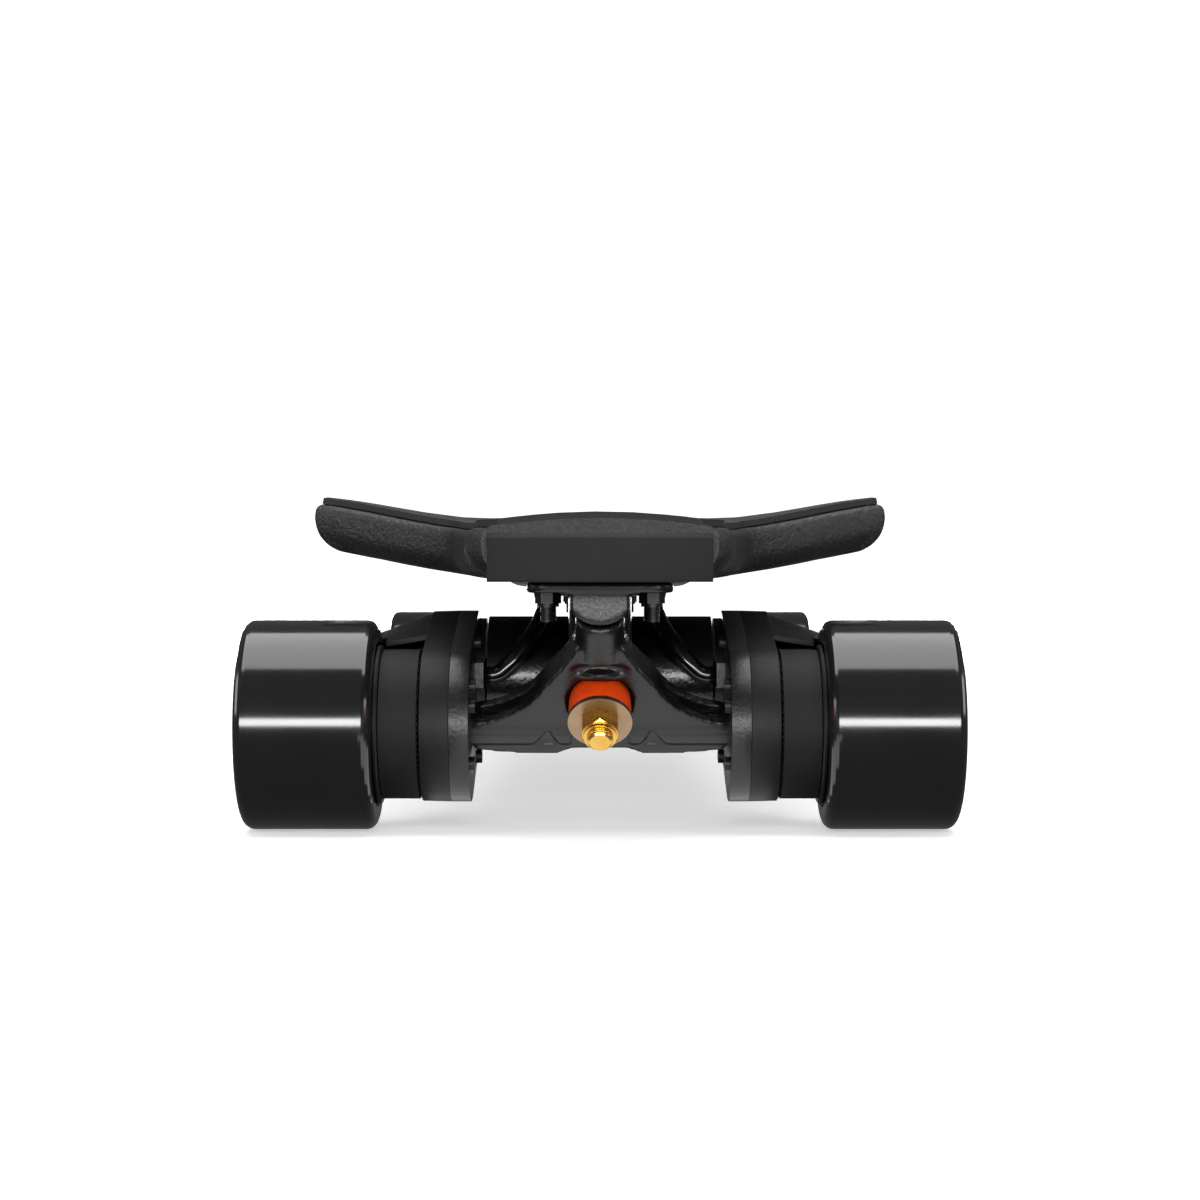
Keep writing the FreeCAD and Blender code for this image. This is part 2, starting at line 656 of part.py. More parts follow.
# ---- truck, swinging half -------------------------------------------------------------------------
WEB_HALF = 7.0
WEB_EDGE = [(9.6, 46.0), (12.5, 40.0), (20.5, 28.5), (29.0, 17.0), (39.0, 10.0), (51.0, 6.6)]
ARM_PROFILE = [(-8.5, 46.0), (-4.5, 50.4), (3.0, 50.4), (8.2, 45.2), (8.2, 38.5), (4.5, 34.6),
               (-4.5, 34.6), (-8.5, 38.5)]      # (outboard, height) corners of the clamp zone


def on_web(x, s, t):
    """Point at x, s up the steering direction from the axle and t along the kingpin."""
    return AXLE + X_AXIS * x + STEER * s + KING * t


def web_plate(t0, t1):
    right = [on_web(x, s, t0) for x, s in WEB_EDGE]
    left = [on_web(-x, s, t0) for x, s in reversed(WEB_EDGE)]
    low = [on_web(x, s, t0) for x, s in
           ((51, -8.0), (40, -9.6), (17, -10.0), (11, -7.4), (-11, -7.4), (-17, -10.0), (-40, -9.6),
            (-51, -8.0))]
    edges = [spline_edge(right)]
    chain = [right[-1]] + low + [left[0]]
    edges += [Part.LineSegment(a, b).toShape() for a, b in zip(chain, chain[1:])]
    edges += [spline_edge(left), Part.LineSegment(left[-1], right[0]).toShape()]
    return Part.Face(Part.Wire(edges)).extrude(KING * (t1 - t0))


def web_trough():
    """Channel along the top of each arm, between its front wing and its rear one."""
    top = [(22.0, 31.0), (25.0, 25.0), (31.0, 18.0), (40.0, 12.5), (49.0, 9.5)]
    low = [(49.0, 3.0), (44.0, 2.5), (35.0, 5.0), (25.0, 16.0)]
    points = [on_web(x, s, -3.2) for x, s in top + low]
    return prism(points, KING * 5.4)


def eyebrow():
    """Arched groove in the front face, above the bushing."""
    front = RING + KING * (WEB_HALF - 1.6)
    ring = tube(21.0, 17.0, front, KING, 6)
    wedge = [front, front + X_AXIS * 17 + STEER * 26, front + X_AXIS * -17 + STEER * 26]
    return ring.common(prism(wedge, KING * 6))


def corner_pocket():
    points = [on_web(x, s, WEB_HALF - 1.2) for x, s in ((16.5, -4.5), (28.0, -6.0), (21.0, 4.5))]
    return prism(points, KING * 4)


def arm():
    outline = [V(12, y, z) for y, z in ARM_PROFILE]
    return prism(outline, X_AXIS * (HANGER_HALF - 12))


def hanger():
    """Casting that carries the axle: arms, a winged web, the kingpin ring and the pivot stem."""
    ring = rod(18.5, along_king(-RING_HALF), KING, 2 * RING_HALF)
    stem = rod(STEM_RADIUS, RING, STEER, STEM_LENGTH - 1.5)
    taper = Part.makeCone(STEM_RADIUS, STEM_RADIUS - 1.5, 1.5, RING + STEER * (STEM_LENGTH - 1.5), STEER)
    neck = rod(4.4, RING + STEER * (STEM_LENGTH - 1), STEER, PIVOT_DISTANCE - STEM_LENGTH + 1)
    ball = Part.makeSphere(PIVOT_BALL, PIVOT)
    solid = joined(web_plate(-WEB_HALF, WEB_HALF), ring, stem, taper, neck, ball, *both_sides(arm()))
    cuts = [
        rod(8.0, along_king(-20), KING, 40),
        rod(13.4, along_king(RING_HALF - SEAT_DEPTH), KING, 12),
        rod(13.4, along_king(-RING_HALF + SEAT_DEPTH), KING * -1, 12),
        rod(AXLE_RADIUS + 0.02, V(-120, 0, AXLE_Z), X_AXIS, 240),
        eyebrow(),
    ]
    cuts += both_sides(web_trough()) + both_sides(corner_pocket())
    return cut_all(solid, *cuts)


AXLE_HALF = 134.0
BEARING_INNER_AT = HANGER_HALF + 1.5
BEARING_OUTER_AT = BEARING_INNER_AT + 17.0
BEARING_WIDTH = 7.0


def axle():
    bar = rod(AXLE_RADIUS, V(-AXLE_HALF, 0, AXLE_Z), X_AXIS, 2 * AXLE_HALF)
    return bar.makeChamfer(0.7, [e for e in bar.Edges if e.Curve.TypeId == "Part::GeomCircle"])


def axle_fasteners():
    """Speed rings each side of the bearings, and the lock nuts, on both ends of the axle."""
    bore = AXLE_RADIUS + 0.03
    outer = BEARING_OUTER_AT + BEARING_WIDTH
    ring_in = tube(5.9, bore, V(HANGER_HALF, 0, AXLE_Z), X_AXIS, 1.45)
    ring_out = tube(5.9, bore, V(outer + 0.05, 0, AXLE_Z), X_AXIS, 1.0)
    start = outer + 1.05
    body = hexagon(12.7, V(start, 0, AXLE_Z), X_AXIS, 5.0, Z_AXIS)
    nut = joined(body, rod(5.6, V(start, 0, AXLE_Z), X_AXIS, 6.6))
    nut = nut.cut(rod(bore, V(start - 1, 0, AXLE_Z), X_AXIS, 12))
    return [part for piece in (ring_in, ring_out, nut) for part in both_sides(piece)]


# ---- wheels ---------------------------------------------------------------------------------------
CORE_RADIUS = 30.0
CORE_INNER_X = TYRE_INNER_X + 8.0
CORE_OUTER_X = TYRE_INNER_X + TYRE_WIDTH - 8.0
SPOKES = 6


def tyre():
    """Urethane tyre: rounded shoulders and a bevelled lip at both faces."""
    x0, x1 = TYRE_INNER_X, TYRE_INNER_X + TYRE_WIDTH
    shoulder, face, r = 4.5, 38.0, WHEEL_RADIUS
    arc_in = [(x0 + shoulder * (1 - math.cos(a)), face + shoulder * math.sin(a))
              for a in (math.radians(15 * i) for i in range(7))]
    arc_out = [(x0 + x1 - x, y) for x, y in reversed(arc_in)]
    assert abs(arc_in[-1][1] - r) < 1e-6
    profile = [(x0, 33.6)] + arc_in + arc_out + [(x1, 33.6), (x1 - 8.0, CORE_RADIUS + 1.2),
                                                (CORE_OUTER_X, CORE_RADIUS), (CORE_INNER_X, CORE_RADIUS),
                                                (x0 + 8.0, CORE_RADIUS + 1.2)]
    return turned_profile(profile)


def core():
    """Moulded core: rim, hub with two bearing seats, and a spoked web."""
    b0, b1, w = BEARING_INNER_AT, BEARING_OUTER_AT, BEARING_WIDTH
    rim = turned_profile([(CORE_INNER_X, 26.5), (CORE_INNER_X, CORE_RADIUS - 0.02),
                          (CORE_OUTER_X, CORE_RADIUS - 0.02), (CORE_OUTER_X, 26.5)])
    hub = turned_profile([(b0, 11.02), (b0, 14.5), (b1 + w, 14.5), (b1 + w, 11.02), (b1, 11.02),
                          (b1, 9.0), (b0 + w, 9.0), (b0 + w, 11.02)])
    web = turned_profile([(b0 + 8, 12.0), (b0 + 8, 28.0), (b1 + w - 6, 28.0), (b1 + w - 6, 12.0)])
    solid = joined(rim, hub, web)
    windows = []
    for i in range(SPOKES):
        a = 2 * math.pi * (i + 0.5) / SPOKES
        spot = V(90, 20.5 * math.cos(a), AXLE_Z + 20.5 * math.sin(a))
        windows.append(rod(4.6, spot, X_AXIS, 60))
    return cut_all(solid, *windows)


def ball_bearing(x):
    """Inner race, outer race and seal of one 608 bearing."""
    start = V(x, 0, AXLE_Z)
    seal = V(x + 0.5, 0, AXLE_Z)
    return [tube(6.0, AXLE_RADIUS + 0.03, start, X_AXIS, BEARING_WIDTH),
            tube(11.0, 9.3, start, X_AXIS, BEARING_WIDTH),
            tube(9.28, 6.02, seal, X_AXIS, BEARING_WIDTH - 1.0)]


def bearings():
    spacer = tube(5.9, AXLE_RADIUS + 0.03, V(BEARING_INNER_AT + BEARING_WIDTH, 0, AXLE_Z), X_AXIS,
                  BEARING_OUTER_AT - BEARING_INNER_AT - BEARING_WIDTH)
    return ball_bearing(BEARING_INNER_AT) + ball_bearing(BEARING_OUTER_AT) + [spacer]


# ---- belt drive -----------------------------------------------------------------------------------
WHEEL_PITCH_R = BELT_PITCH * WHEEL_TEETH / (2 * math.pi)
MOTOR_PITCH_R = BELT_PITCH * MOTOR_TEETH / (2 * math.pi)


def belt_length(distance):
    gamma = math.acos((WHEEL_PITCH_R - MOTOR_PITCH_R) / distance)
    straight = math.sqrt(distance ** 2 - (WHEEL_PITCH_R - MOTOR_PITCH_R) ** 2)
    return WHEEL_PITCH_R * 2 * (math.pi - gamma) + MOTOR_PITCH_R * 2 * gamma + 2 * straight


def centre_distance():
    """The pulley spacing at which the belt is exactly tight, by halving."""
    low, high = 50.0, 80.0
    for _ in range(60):
        middle = (low + high) / 2
        if belt_length(middle) < BELT_PITCH * BELT_TEETH:
            low = middle
        else:
            high = middle
    return (low + high) / 2


SPACING = centre_distance()
MOTOR_AT = V(0, -math.sqrt(SPACING ** 2 - MOTOR_RISE ** 2), AXLE_Z + MOTOR_RISE)
LINE_ANGLE = math.atan2(MOTOR_RISE, MOTOR_AT.y)
GAMMA = math.acos((WHEEL_PITCH_R - MOTOR_PITCH_R) / SPACING)


def spoke(angle):
    return V(0, math.cos(angle), math.sin(angle))


def at_x(point, x):
    return V(x, point.y, point.z)


def oval_wire(x, wheel_r, motor_r):
    """Outline round the axle and the motor shaft: two arcs and their outer tangents."""
    gamma = math.acos((wheel_r - motor_r) / SPACING)
    w, m = at_x(AXLE, x), at_x(MOTOR_AT, x)
    up, down = spoke(LINE_ANGLE + gamma), spoke(LINE_ANGLE - gamma)
    along = spoke(LINE_ANGLE)
    return Part.Wire([
        Part.Arc(w + up * wheel_r, w - along * wheel_r, w + down * wheel_r).toShape(),
        Part.LineSegment(w + down * wheel_r, m + down * motor_r).toShape(),
        Part.Arc(m + down * motor_r, m + along * motor_r, m + up * motor_r).toShape(),
        Part.LineSegment(m + up * motor_r, w + up * wheel_r).toShape(),
    ])


def oval_block(x0, x1, wheel_r, motor_r):
    return Part.Face(oval_wire(x0, wheel_r, motor_r)).extrude(X_AXIS * (x1 - x0))


def tooth_centres():
    """Centre of every belt tooth, at its root line, going once round the belt."""
    wheel_arc = WHEEL_PITCH_R * 2 * (math.pi - GAMMA)
    straight = SPACING * math.sin(GAMMA)
    motor_arc = MOTOR_PITCH_R * 2 * GAMMA
    down, up = spoke(LINE_ANGLE - GAMMA), spoke(LINE_ANGLE + GAMMA)
    for i in range(BELT_TEETH):
        d = i * BELT_PITCH
        if d < wheel_arc:
            yield AXLE + spoke(LINE_ANGLE + GAMMA + d / WHEEL_PITCH_R) * (WHEEL_PITCH_R - PITCH_LINE)
            continue
        d -= wheel_arc
        if d < straight:
            share = d / straight
            a = AXLE + down * (WHEEL_PITCH_R - PITCH_LINE)
            yield a + (MOTOR_AT + down * (MOTOR_PITCH_R - PITCH_LINE) - a) * share
            continue
        d -= straight
        if d < motor_arc:
            yield MOTOR_AT + spoke(LINE_ANGLE - GAMMA + d / MOTOR_PITCH_R) * (MOTOR_PITCH_R - PITCH_LINE)
            continue
        share = (d - motor_arc) / straight
        a = MOTOR_AT + up * (MOTOR_PITCH_R - PITCH_LINE)
        yield a + (AXLE + up * (WHEEL_PITCH_R - PITCH_LINE) - a) * share


def drive_belt():
    land = 0.3 - PITCH_LINE
    back = land + BELT_BACK
    x0, x1 = BELT_INNER_X, BELT_INNER_X + BELT_WIDTH
    band = oval_block(x0, x1, WHEEL_PITCH_R + back, MOTOR_PITCH_R + back)
    band = band.cut(oval_block(x0, x1, WHEEL_PITCH_R + land, MOTOR_PITCH_R + land))
    teeth = [rod(1.4, at_x(c, x0), X_AXIS, BELT_WIDTH) for c in tooth_centres()]
    belt = band.multiFuse(teeth)
    return belt.common(oval_block(x0, x1, WHEEL_PITCH_R + back, MOTOR_PITCH_R + back))


def grooves(centre, radius, teeth, phase, x0, length):
    found = []
    for i in range(teeth):
        spot = centre + spoke(phase + 2 * math.pi * i / teeth) * radius
        found.append(rod(1.75, at_x(spot, x0), X_AXIS, length))
    return found


PULLEY_BORE = 18.5
PULLEY_SCREW_CIRCLE = 22.8


def wheel_pulley():
    """Toothed ring round the hanger's arm, screwed to the wheel's core."""
    tip = WHEEL_PITCH_R - PITCH_LINE
    x0, x1 = BELT_INNER_X - 0.4, BELT_INNER_X + BELT_WIDTH + 0.4
    ring = tube(tip, PULLEY_BORE, V(x0, 0, AXLE_Z), X_AXIS, x1 - x0)
    ring = cut_all(ring, *grooves(AXLE, tip, WHEEL_TEETH, LINE_ANGLE + GAMMA, x0, x1 - x0))
    flange = turned_profile([(x1, PULLEY_BORE), (x1, 31.8), (x1 + 0.6, 32.2), (x1 + 1.4, 32.2),
                             (x1 + 1.4, 29.0), (CORE_INNER_X, 29.0), (CORE_INNER_X, PULLEY_BORE)])
    body = joined(ring, flange)
    spots = [AXLE + spoke(a) * PULLEY_SCREW_CIRCLE for a in screw_angles()]
    holes = [rod(1.55, at_x(spot, x0), X_AXIS, 40) for spot in spots]
    wells = [rod(2.9, at_x(spot, x0), X_AXIS, 6) for spot in spots]
    return cut_all(body, *holes, *wells)


def screw_angles():
    return [2 * math.pi * i / SPOKES for i in range(SPOKES)]


def pulley_screws():
    found = []
    for a in screw_angles():
        start = at_x(AXLE + spoke(a) * PULLEY_SCREW_CIRCLE, BELT_INNER_X + 2.2)
        head = rod(2.7, start, X_AXIS, 3.4).cut(hexagon(2.5, start, X_AXIS, 1.8, Z_AXIS))
        shank = rod(1.5, start + X_AXIS * 3.4, X_AXIS, CORE_INNER_X - start.x - 3.4)
        found.append(head.fuse(shank))
    return found


def motor_pulley():
    tip = MOTOR_PITCH_R - PITCH_LINE
    x0, x1 = BELT_INNER_X - 0.4, BELT_INNER_X + BELT_WIDTH + 0.4
    wheel_arc = WHEEL_PITCH_R * 2 * (math.pi - GAMMA)
    start = wheel_arc + SPACING * math.sin(GAMMA)
    first = math.ceil(start / BELT_PITCH) * BELT_PITCH
    phase = LINE_ANGLE - GAMMA + (first - start) / MOTOR_PITCH_R
    toothed = rod(tip, at_x(MOTOR_AT, x0), X_AXIS, x1 - x0)
    toothed = cut_all(toothed, *grooves(MOTOR_AT, tip, MOTOR_TEETH, phase, x0, x1 - x0))
    rims = [rod(13.4, at_x(MOTOR_AT, x), X_AXIS, 1.0) for x in (x0 - 1.0, x1)]
    hub = rod(8.0, at_x(MOTOR_AT, x0 - 4.0), X_AXIS, 4.0)
    return joined(toothed, hub, *rims).cut(rod(4.02, at_x(MOTOR_AT, x0 - 10), X_AXIS, 40))


MOTOR_FACE_X = 48.5
CAN_INNER_X = 10.0


def motor_rotor():
    """Outer can with its magnets and the shaft: everything that spins."""
    can = tube(MOTOR_RADIUS, 24.2, at_x(MOTOR_AT, CAN_INNER_X), X_AXIS, MOTOR_FACE_X - 1.0 - CAN_INNER_X)
    cap = rod(24.4, at_x(MOTOR_AT, CAN_INNER_X), X_AXIS, 3.0)
    can = joined(can, cap)
    rim = [e for e in can.Edges if e.Curve.TypeId == "Part::GeomCircle"
           and e.BoundBox.XMax < CAN_INNER_X + 0.1 and e.BoundBox.YLength > 2 * MOTOR_RADIUS - 1]
    can = can.makeFillet(1.8, rim)
    shaft = rod(AXLE_RADIUS, at_x(MOTOR_AT, CAN_INNER_X + 3.0), X_AXIS, 91.0 - CAN_INNER_X - 3.0)
    ring = tube(24.15, 22.6, at_x(MOTOR_AT, 18.0), X_AXIS, 26.0)
    gaps = []
    for i in range(MOTOR_TEETH):
        gap = box(17, 45, 20, 26, -0.6, 0.6)
        gap.rotate(V(0, 0, 0), X_AXIS, 360.0 * i / MOTOR_TEETH)
        gap.translate(MOTOR_AT)
        gaps.append(gap)
    return [can, shaft] + ring.cut(gaps).Solids


def motor_stator():
    """Fixed half of the motor: base with its bearing tube, wound core and two bearings."""
    bore = AXLE_RADIUS + 0.05
    base = rod(25.2, at_x(MOTOR_AT, MOTOR_FACE_X), X_AXIS, MOUNT_INNER_X - MOTOR_FACE_X)
    sleeve = rod(8.5, at_x(MOTOR_AT, 17.0), X_AXIS, MOTOR_FACE_X - 17.0)
    body = joined(base, sleeve, cable_port()).cut(rod(6.5, at_x(MOTOR_AT, 5), X_AXIS, 70))
    core_block = tube(21.8, 8.52, at_x(MOTOR_AT, 18.5), X_AXIS, 25.0)
    slots = []
    for i in range(12):
        slot = box(17, 46, 12.5, 23, -1.6, 1.6)
        slot.rotate(V(0, 0, 0), X_AXIS, 30.0 * i)
        slot.translate(MOTOR_AT)
        slots.append(slot)
    races = [tube(6.48, bore, at_x(MOTOR_AT, x), X_AXIS, 4.0) for x in (18.0, 46.5)]
    return [body, core_block.cut(slots)] + races


def cable_port():
    """Square nib on the motor's base where the cable goes in."""
    y = MOTOR_AT.y
    return box(MOTOR_FACE_X, MOUNT_INNER_X, y + 22.0, y + 37.6, 56.4, 66.8)


def motor_mount():
    """Plate that clamps on the hanger's arm and carries the motor."""
    plate = oval_block(MOUNT_INNER_X, MOUNT_OUTER_X, COVER_WHEEL_R, COVER_MOTOR_R)
    arm_hole = prism([V(MOUNT_INNER_X - 1, y, z) for y, z in ARM_PROFILE], X_AXIS * 12)
    shaft_hole = rod(9.0, at_x(MOTOR_AT, MOUNT_INNER_X - 1), X_AXIS, 12)
    holes = [rod(2.1, at_x(p, MOUNT_INNER_X - 1), X_AXIS, 12) for p in motor_screw_spots()]
    return cut_all(plate, arm_hole, shaft_hole, *holes)


def motor_screw_spots():
    return [MOTOR_AT + spoke(math.radians(45 + 90 * i)) * 15.5 for i in range(4)]


def cover_screw_spots():
    """Three round the axle and two beside the middle of the plate, clear of the motor."""
    middle = (AXLE + MOTOR_AT) * 0.5
    across = spoke(LINE_ANGLE + math.pi / 2)
    return [AXLE + spoke(math.radians(a)) * 26.2 for a in (-34.0, 19.0, 38.0)] + [
        middle + across * 25.0, middle - across * 25.0]


def cap_screw(point, x, direction, length):
    """Socket-head screw: its head starts at x and the shank runs on along direction."""
    start = at_x(point, x)
    head = rod(3.2, start, direction, 3.4).cut(hexagon(2.8, start, direction, 1.8, Z_AXIS))
    return head.fuse(rod(2.0, start + direction * 3.4, direction, length))


def mount_screws():
    """Screws that hold the motor and the cover to the mount, on one side."""
    found = [cap_screw(p, MOUNT_OUTER_X + 3.4, X_AXIS * -1, 8.0) for p in motor_screw_spots()]
    for p in cover_screw_spots():
        start = at_x(p, MOUNT_INNER_X - 2.4)
        head = rod(2.9, start, X_AXIS, 2.4)
        found.append(head.cut(hexagon(2.8, start, X_AXIS, 1.4, Z_AXIS)))
    return found


def belt_cover():
    """Guard round the drive: a flat rim by the mount, then a hood that narrows over the motor pulley."""
    rim_x, hood_x, wall = BELT_INNER_X - 1.2, COVER_OUTER_X, COVER_WALL
    wheel_r, motor_r = COVER_WHEEL_R, COVER_MOTOR_R
    rim = Part.makeLoft([oval_wire(MOUNT_OUTER_X, wheel_r, motor_r),
                         oval_wire(rim_x, wheel_r - DRAFT, motor_r - DRAFT)], True, True)
    rim = rim.cut(oval_block(MOUNT_OUTER_X, rim_x, wheel_r - DRAFT - wall, motor_r - DRAFT - wall))
    outer = Part.makeLoft([oval_wire(rim_x - 2.0, wheel_r - DRAFT, motor_r - DRAFT),
                           oval_wire(hood_x, wheel_r - DRAFT, 18.0)], True, True)
    inner = Part.makeLoft([oval_wire(rim_x - 2.0, wheel_r - DRAFT - wall, motor_r - DRAFT - wall),
                           oval_wire(hood_x - wall, wheel_r - DRAFT - wall, 18.0 - wall)], True, True)
    hood = outer.cut(inner)
    clear = [
        rod(33.4, at_x(AXLE, rim_x - 3.0), X_AXIS, 40),
        rod(WHEEL_RADIUS + 1.5, at_x(AXLE, TYRE_INNER_X - 1.5), X_AXIS, 20),
        box(rim_x - 3.0, 110, -18, 60, 0, 120),
    ]
    hood = cut_all(hood, *clear)
    return joined(rim, hood)


def cable_route():
    """Corners of a motor cable's path on the +X side, from the deck's boot to the motor."""
    y = -(GLAND_Y + AXLE_Y)
    return [V(GLAND_X, y, CABLE_START_Z), V(GLAND_X, y, 88.6), V(25.8, -37.0, 82.0), V(31.0, -30.6, 74.4),
            V(37.0, -28.2, 66.6), V(42.6, -28.0, 61.6), V(MOTOR_FACE_X - 0.1, -28.0, 61.6)]


def rounded_path(points):
    """Straight runs joined by tangent arcs as large as the runs allow. Also gives the radii."""
    edges, radii, here = [], [], points[0]
    for before, corner, after in zip(points, points[1:], points[2:]):
        a, b = (before - corner), (after - corner)
        shorter = min(a.Length, b.Length)
        a.normalize()
        b.normalize()
        half = (math.pi - a.getAngle(b)) / 2
        reach = 0.45 * shorter
        radius = reach / math.tan(half)
        start, end = corner + a * reach, corner + b * reach
        inward = a + b
        inward.normalize()
        middle = corner + inward * (radius / math.cos(half) - radius)
        edges.append(Part.LineSegment(here, start).toShape())
        edges.append(Part.Arc(start, middle, end).toShape())
        radii.append(round(radius, 1))
        here = end
    edges.append(Part.LineSegment(here, points[-1]).toShape())
    return Part.Wire(edges), radii


def motor_cable():
    wire, radii = rounded_path(cable_route())
    start = wire.Edges[0]
    circle = Part.makeCircle(CABLE_RADIUS, start.valueAt(start.FirstParameter),
                             start.tangentAt(start.FirstParameter))
    solid = wire.makePipeShell([Part.Wire(circle)], True, False)
    expected = math.pi * CABLE_RADIUS ** 2 * wire.Length
    print(f"cable {wire.Length:.1f} long, radii {radii}, volume ratio {solid.Volume / expected:.4f}")
    return solid


# ---- write everything -----------------------------------------------------------------------------
def write_deck():
    export("deck_body", deck_body())
    export("grip_pad", grip_pad())
    export("nose_bumper", bumper(NOSE))
    export("tail_bumper", turned(bumper(TAIL), V(0, 0, 0), Z_AXIS, 180))
    export("battery_cover", lid("battery"))
    export("controller_cover", lid("controller"))
    export("cover_screws", *[lid_screw(x, y) for x, y in lid_screw_spots()])
    export("battery_cells", *battery_cells())
    export("battery_board", battery_board())
    export("motor_controller", motor_controller())
    export("power_leads", *power_leads())
    export("charge_socket", charge_socket())
    export("charge_cap", charge_cap())
    export("button_bezel", button_bezel())
    export("power_button", power_button())
    export("cable_glands", *[cable_gland(x) for x in (-GLAND_X, GLAND_X)])


def write_trucks():
    ends = {"front": at_front, "rear": at_rear}
    for end, place in ends.items():
        export(f"{end}_baseplate", place(baseplate()))
        export(f"{end}_bushings", *[place(b) for b in bushings()])
        export(f"{end}_hanger", place(hanger()))
        export(f"{end}_axle", place(axle()))
        export(f"{end}_axle_fasteners", *[place(f) for f in axle_fasteners()])
    places = ends.values()
    export("pivot_cups", *[place(pivot_cup()) for place in places])
    export("kingpins", *[place(kingpin()) for place in places])
    export("kingpin_fasteners", *[place(f) for place in places for f in kingpin_fasteners()])
    export("truck_bolts", *[place(truck_bolt(x, y)) for place in places for x, y in bolt_spots()])
    export("truck_nuts", *[place(truck_nut(x, y)) for place in places for x, y in bolt_spots()])


def write_wheels():
    # a shape on the +X side is the front right one, or the rear left one once it is turned round
    corners = {
        "front_right": lambda s: at_front(s),
        "front_left": lambda s: at_front(mirrored(s)),
        "rear_left": lambda s: at_rear(s),
        "rear_right": lambda s: at_rear(mirrored(s)),
    }
    for corner, place in corners.items():
        export(f"{corner}_tyre", place(tyre()))
        export(f"{corner}_core", place(core()))
        export(f"{corner}_bearings", *[place(b) for b in bearings()])


def write_drive():
    sides = {"left": lambda s: at_rear(s), "right": lambda s: at_rear(mirrored(s))}
    belt, cover, mount = drive_belt(), belt_cover(), motor_mount()
    for side, place in sides.items():
        export(f"wheel_pulley_{side}", *[place(s) for s in [wheel_pulley()] + pulley_screws()])
        export(f"motor_pulley_{side}", place(motor_pulley()))
        export(f"motor_rotor_{side}", *[place(s) for s in motor_rotor()])
        export(f"motor_stator_{side}", *[place(s) for s in motor_stator()])
        export(f"motor_mount_{side}", place(mount))
        export(f"belt_cover_{side}", place(cover))
        export(f"drive_belt_{side}", place(belt))
        export(f"motor_cable_{side}", place(motor_cable()))
    export("mount_screws", *[place(s) for place in sides.values() for s in mount_screws()])


os.makedirs("parts", exist_ok=True)
write_deck()
write_trucks()
write_wheels()
write_drive()
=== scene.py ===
# %% [markdown]
# # Electric skateboard
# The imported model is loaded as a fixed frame. It already holds every part at its real size, and each
# part rides on a moving body. This script gives the parts their finishes, makes the soft and cast
# pieces again with rounder shapes, and sets up a plain studio.

import json
import math

import bmesh
import bpy
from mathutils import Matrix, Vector


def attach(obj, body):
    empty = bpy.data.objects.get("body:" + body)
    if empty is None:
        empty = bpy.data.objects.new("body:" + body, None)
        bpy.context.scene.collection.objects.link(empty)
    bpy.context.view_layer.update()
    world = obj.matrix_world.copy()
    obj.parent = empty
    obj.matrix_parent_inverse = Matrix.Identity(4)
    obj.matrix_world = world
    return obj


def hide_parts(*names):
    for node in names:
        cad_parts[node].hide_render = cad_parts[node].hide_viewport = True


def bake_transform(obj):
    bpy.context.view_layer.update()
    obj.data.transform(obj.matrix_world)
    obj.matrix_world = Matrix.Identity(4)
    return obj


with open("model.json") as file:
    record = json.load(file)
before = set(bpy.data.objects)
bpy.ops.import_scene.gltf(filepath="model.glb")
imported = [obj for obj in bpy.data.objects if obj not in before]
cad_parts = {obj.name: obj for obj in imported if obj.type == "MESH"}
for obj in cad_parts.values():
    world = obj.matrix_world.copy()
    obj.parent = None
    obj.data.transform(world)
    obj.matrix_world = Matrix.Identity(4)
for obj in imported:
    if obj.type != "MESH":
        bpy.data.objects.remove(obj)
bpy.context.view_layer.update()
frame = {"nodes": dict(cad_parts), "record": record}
nodes = frame["nodes"]
print("parts loaded:", len(nodes))

# %% [markdown]
# Lengths are in metres and most sizes of the object are easier to read in millimetres, so MM turns
# one into the other. Colours are written as the sRGB hex values a paint maker would quote, and one
# function turns them into the linear values that the shader wants.

# %% Units and colours
MM = 0.001                    # one millimetre in metres


def linear(hex_colour):
    """The linear red, green, blue and alpha of an sRGB hex colour."""
    parts = [int(hex_colour[i:i + 2], 16) / 255 for i in (1, 3, 5)]
    return [c / 12.92 if c <= 0.04045 else ((c + 0.055) / 1.055) ** 2.4 for c in parts] + [1.0]


def per_mm(size):
    """Scale of a texture whose features are this many millimetres across."""
    return 1.0 / (size * MM)


print("wheel black in linear values:", [round(c, 4) for c in linear("#1a1a1b")])

# %% [markdown]
# A material is a small tree of nodes. It could be wired by hand in the shader editor, but one function
# that adds a node, sets it up and links it lets each finish below read as a short recipe. A recipe
# starts with start_material: a Principled shader whose even values sit on its own sockets, and the
# Object coordinates, which are in metres here.

# %% Helpers for materials
def add(tree, kind, inputs, feeds=None, **settings):
    """Adds a node. An input given as a socket is linked, and the result goes to the socket that it feeds."""
    made = tree.nodes.new(kind)
    for name, value in settings.items():
        setattr(made, name, value)
    for socket, value in inputs.items():
        if isinstance(value, bpy.types.NodeSocket):
            tree.links.new(value, made.inputs[socket])
        else:
            made.inputs[socket].default_value = value
    result = next(socket for socket in made.outputs if socket.enabled)
    if feeds:
        tree.links.new(result, feeds)
    return made


def start_material(name, colour, roughness, **even):
    """An even finish to vary: the material, its tree and shader, and the Object coordinates."""
    material = bpy.data.materials.new(name)
    material.use_nodes = True
    tree = material.node_tree
    shader = tree.nodes["Principled BSDF"]
    shader.inputs["Base Color"].default_value = linear(colour)
    shader.inputs["Roughness"].default_value = roughness
    for socket, value in even.items():
        shader.inputs[socket.replace("_", " ")].default_value = value
    where = add(tree, "ShaderNodeTexCoord", {}).outputs["Object"]
    return material, tree, shader, where


print("helpers ready:", add.__name__, "and", start_material.__name__)

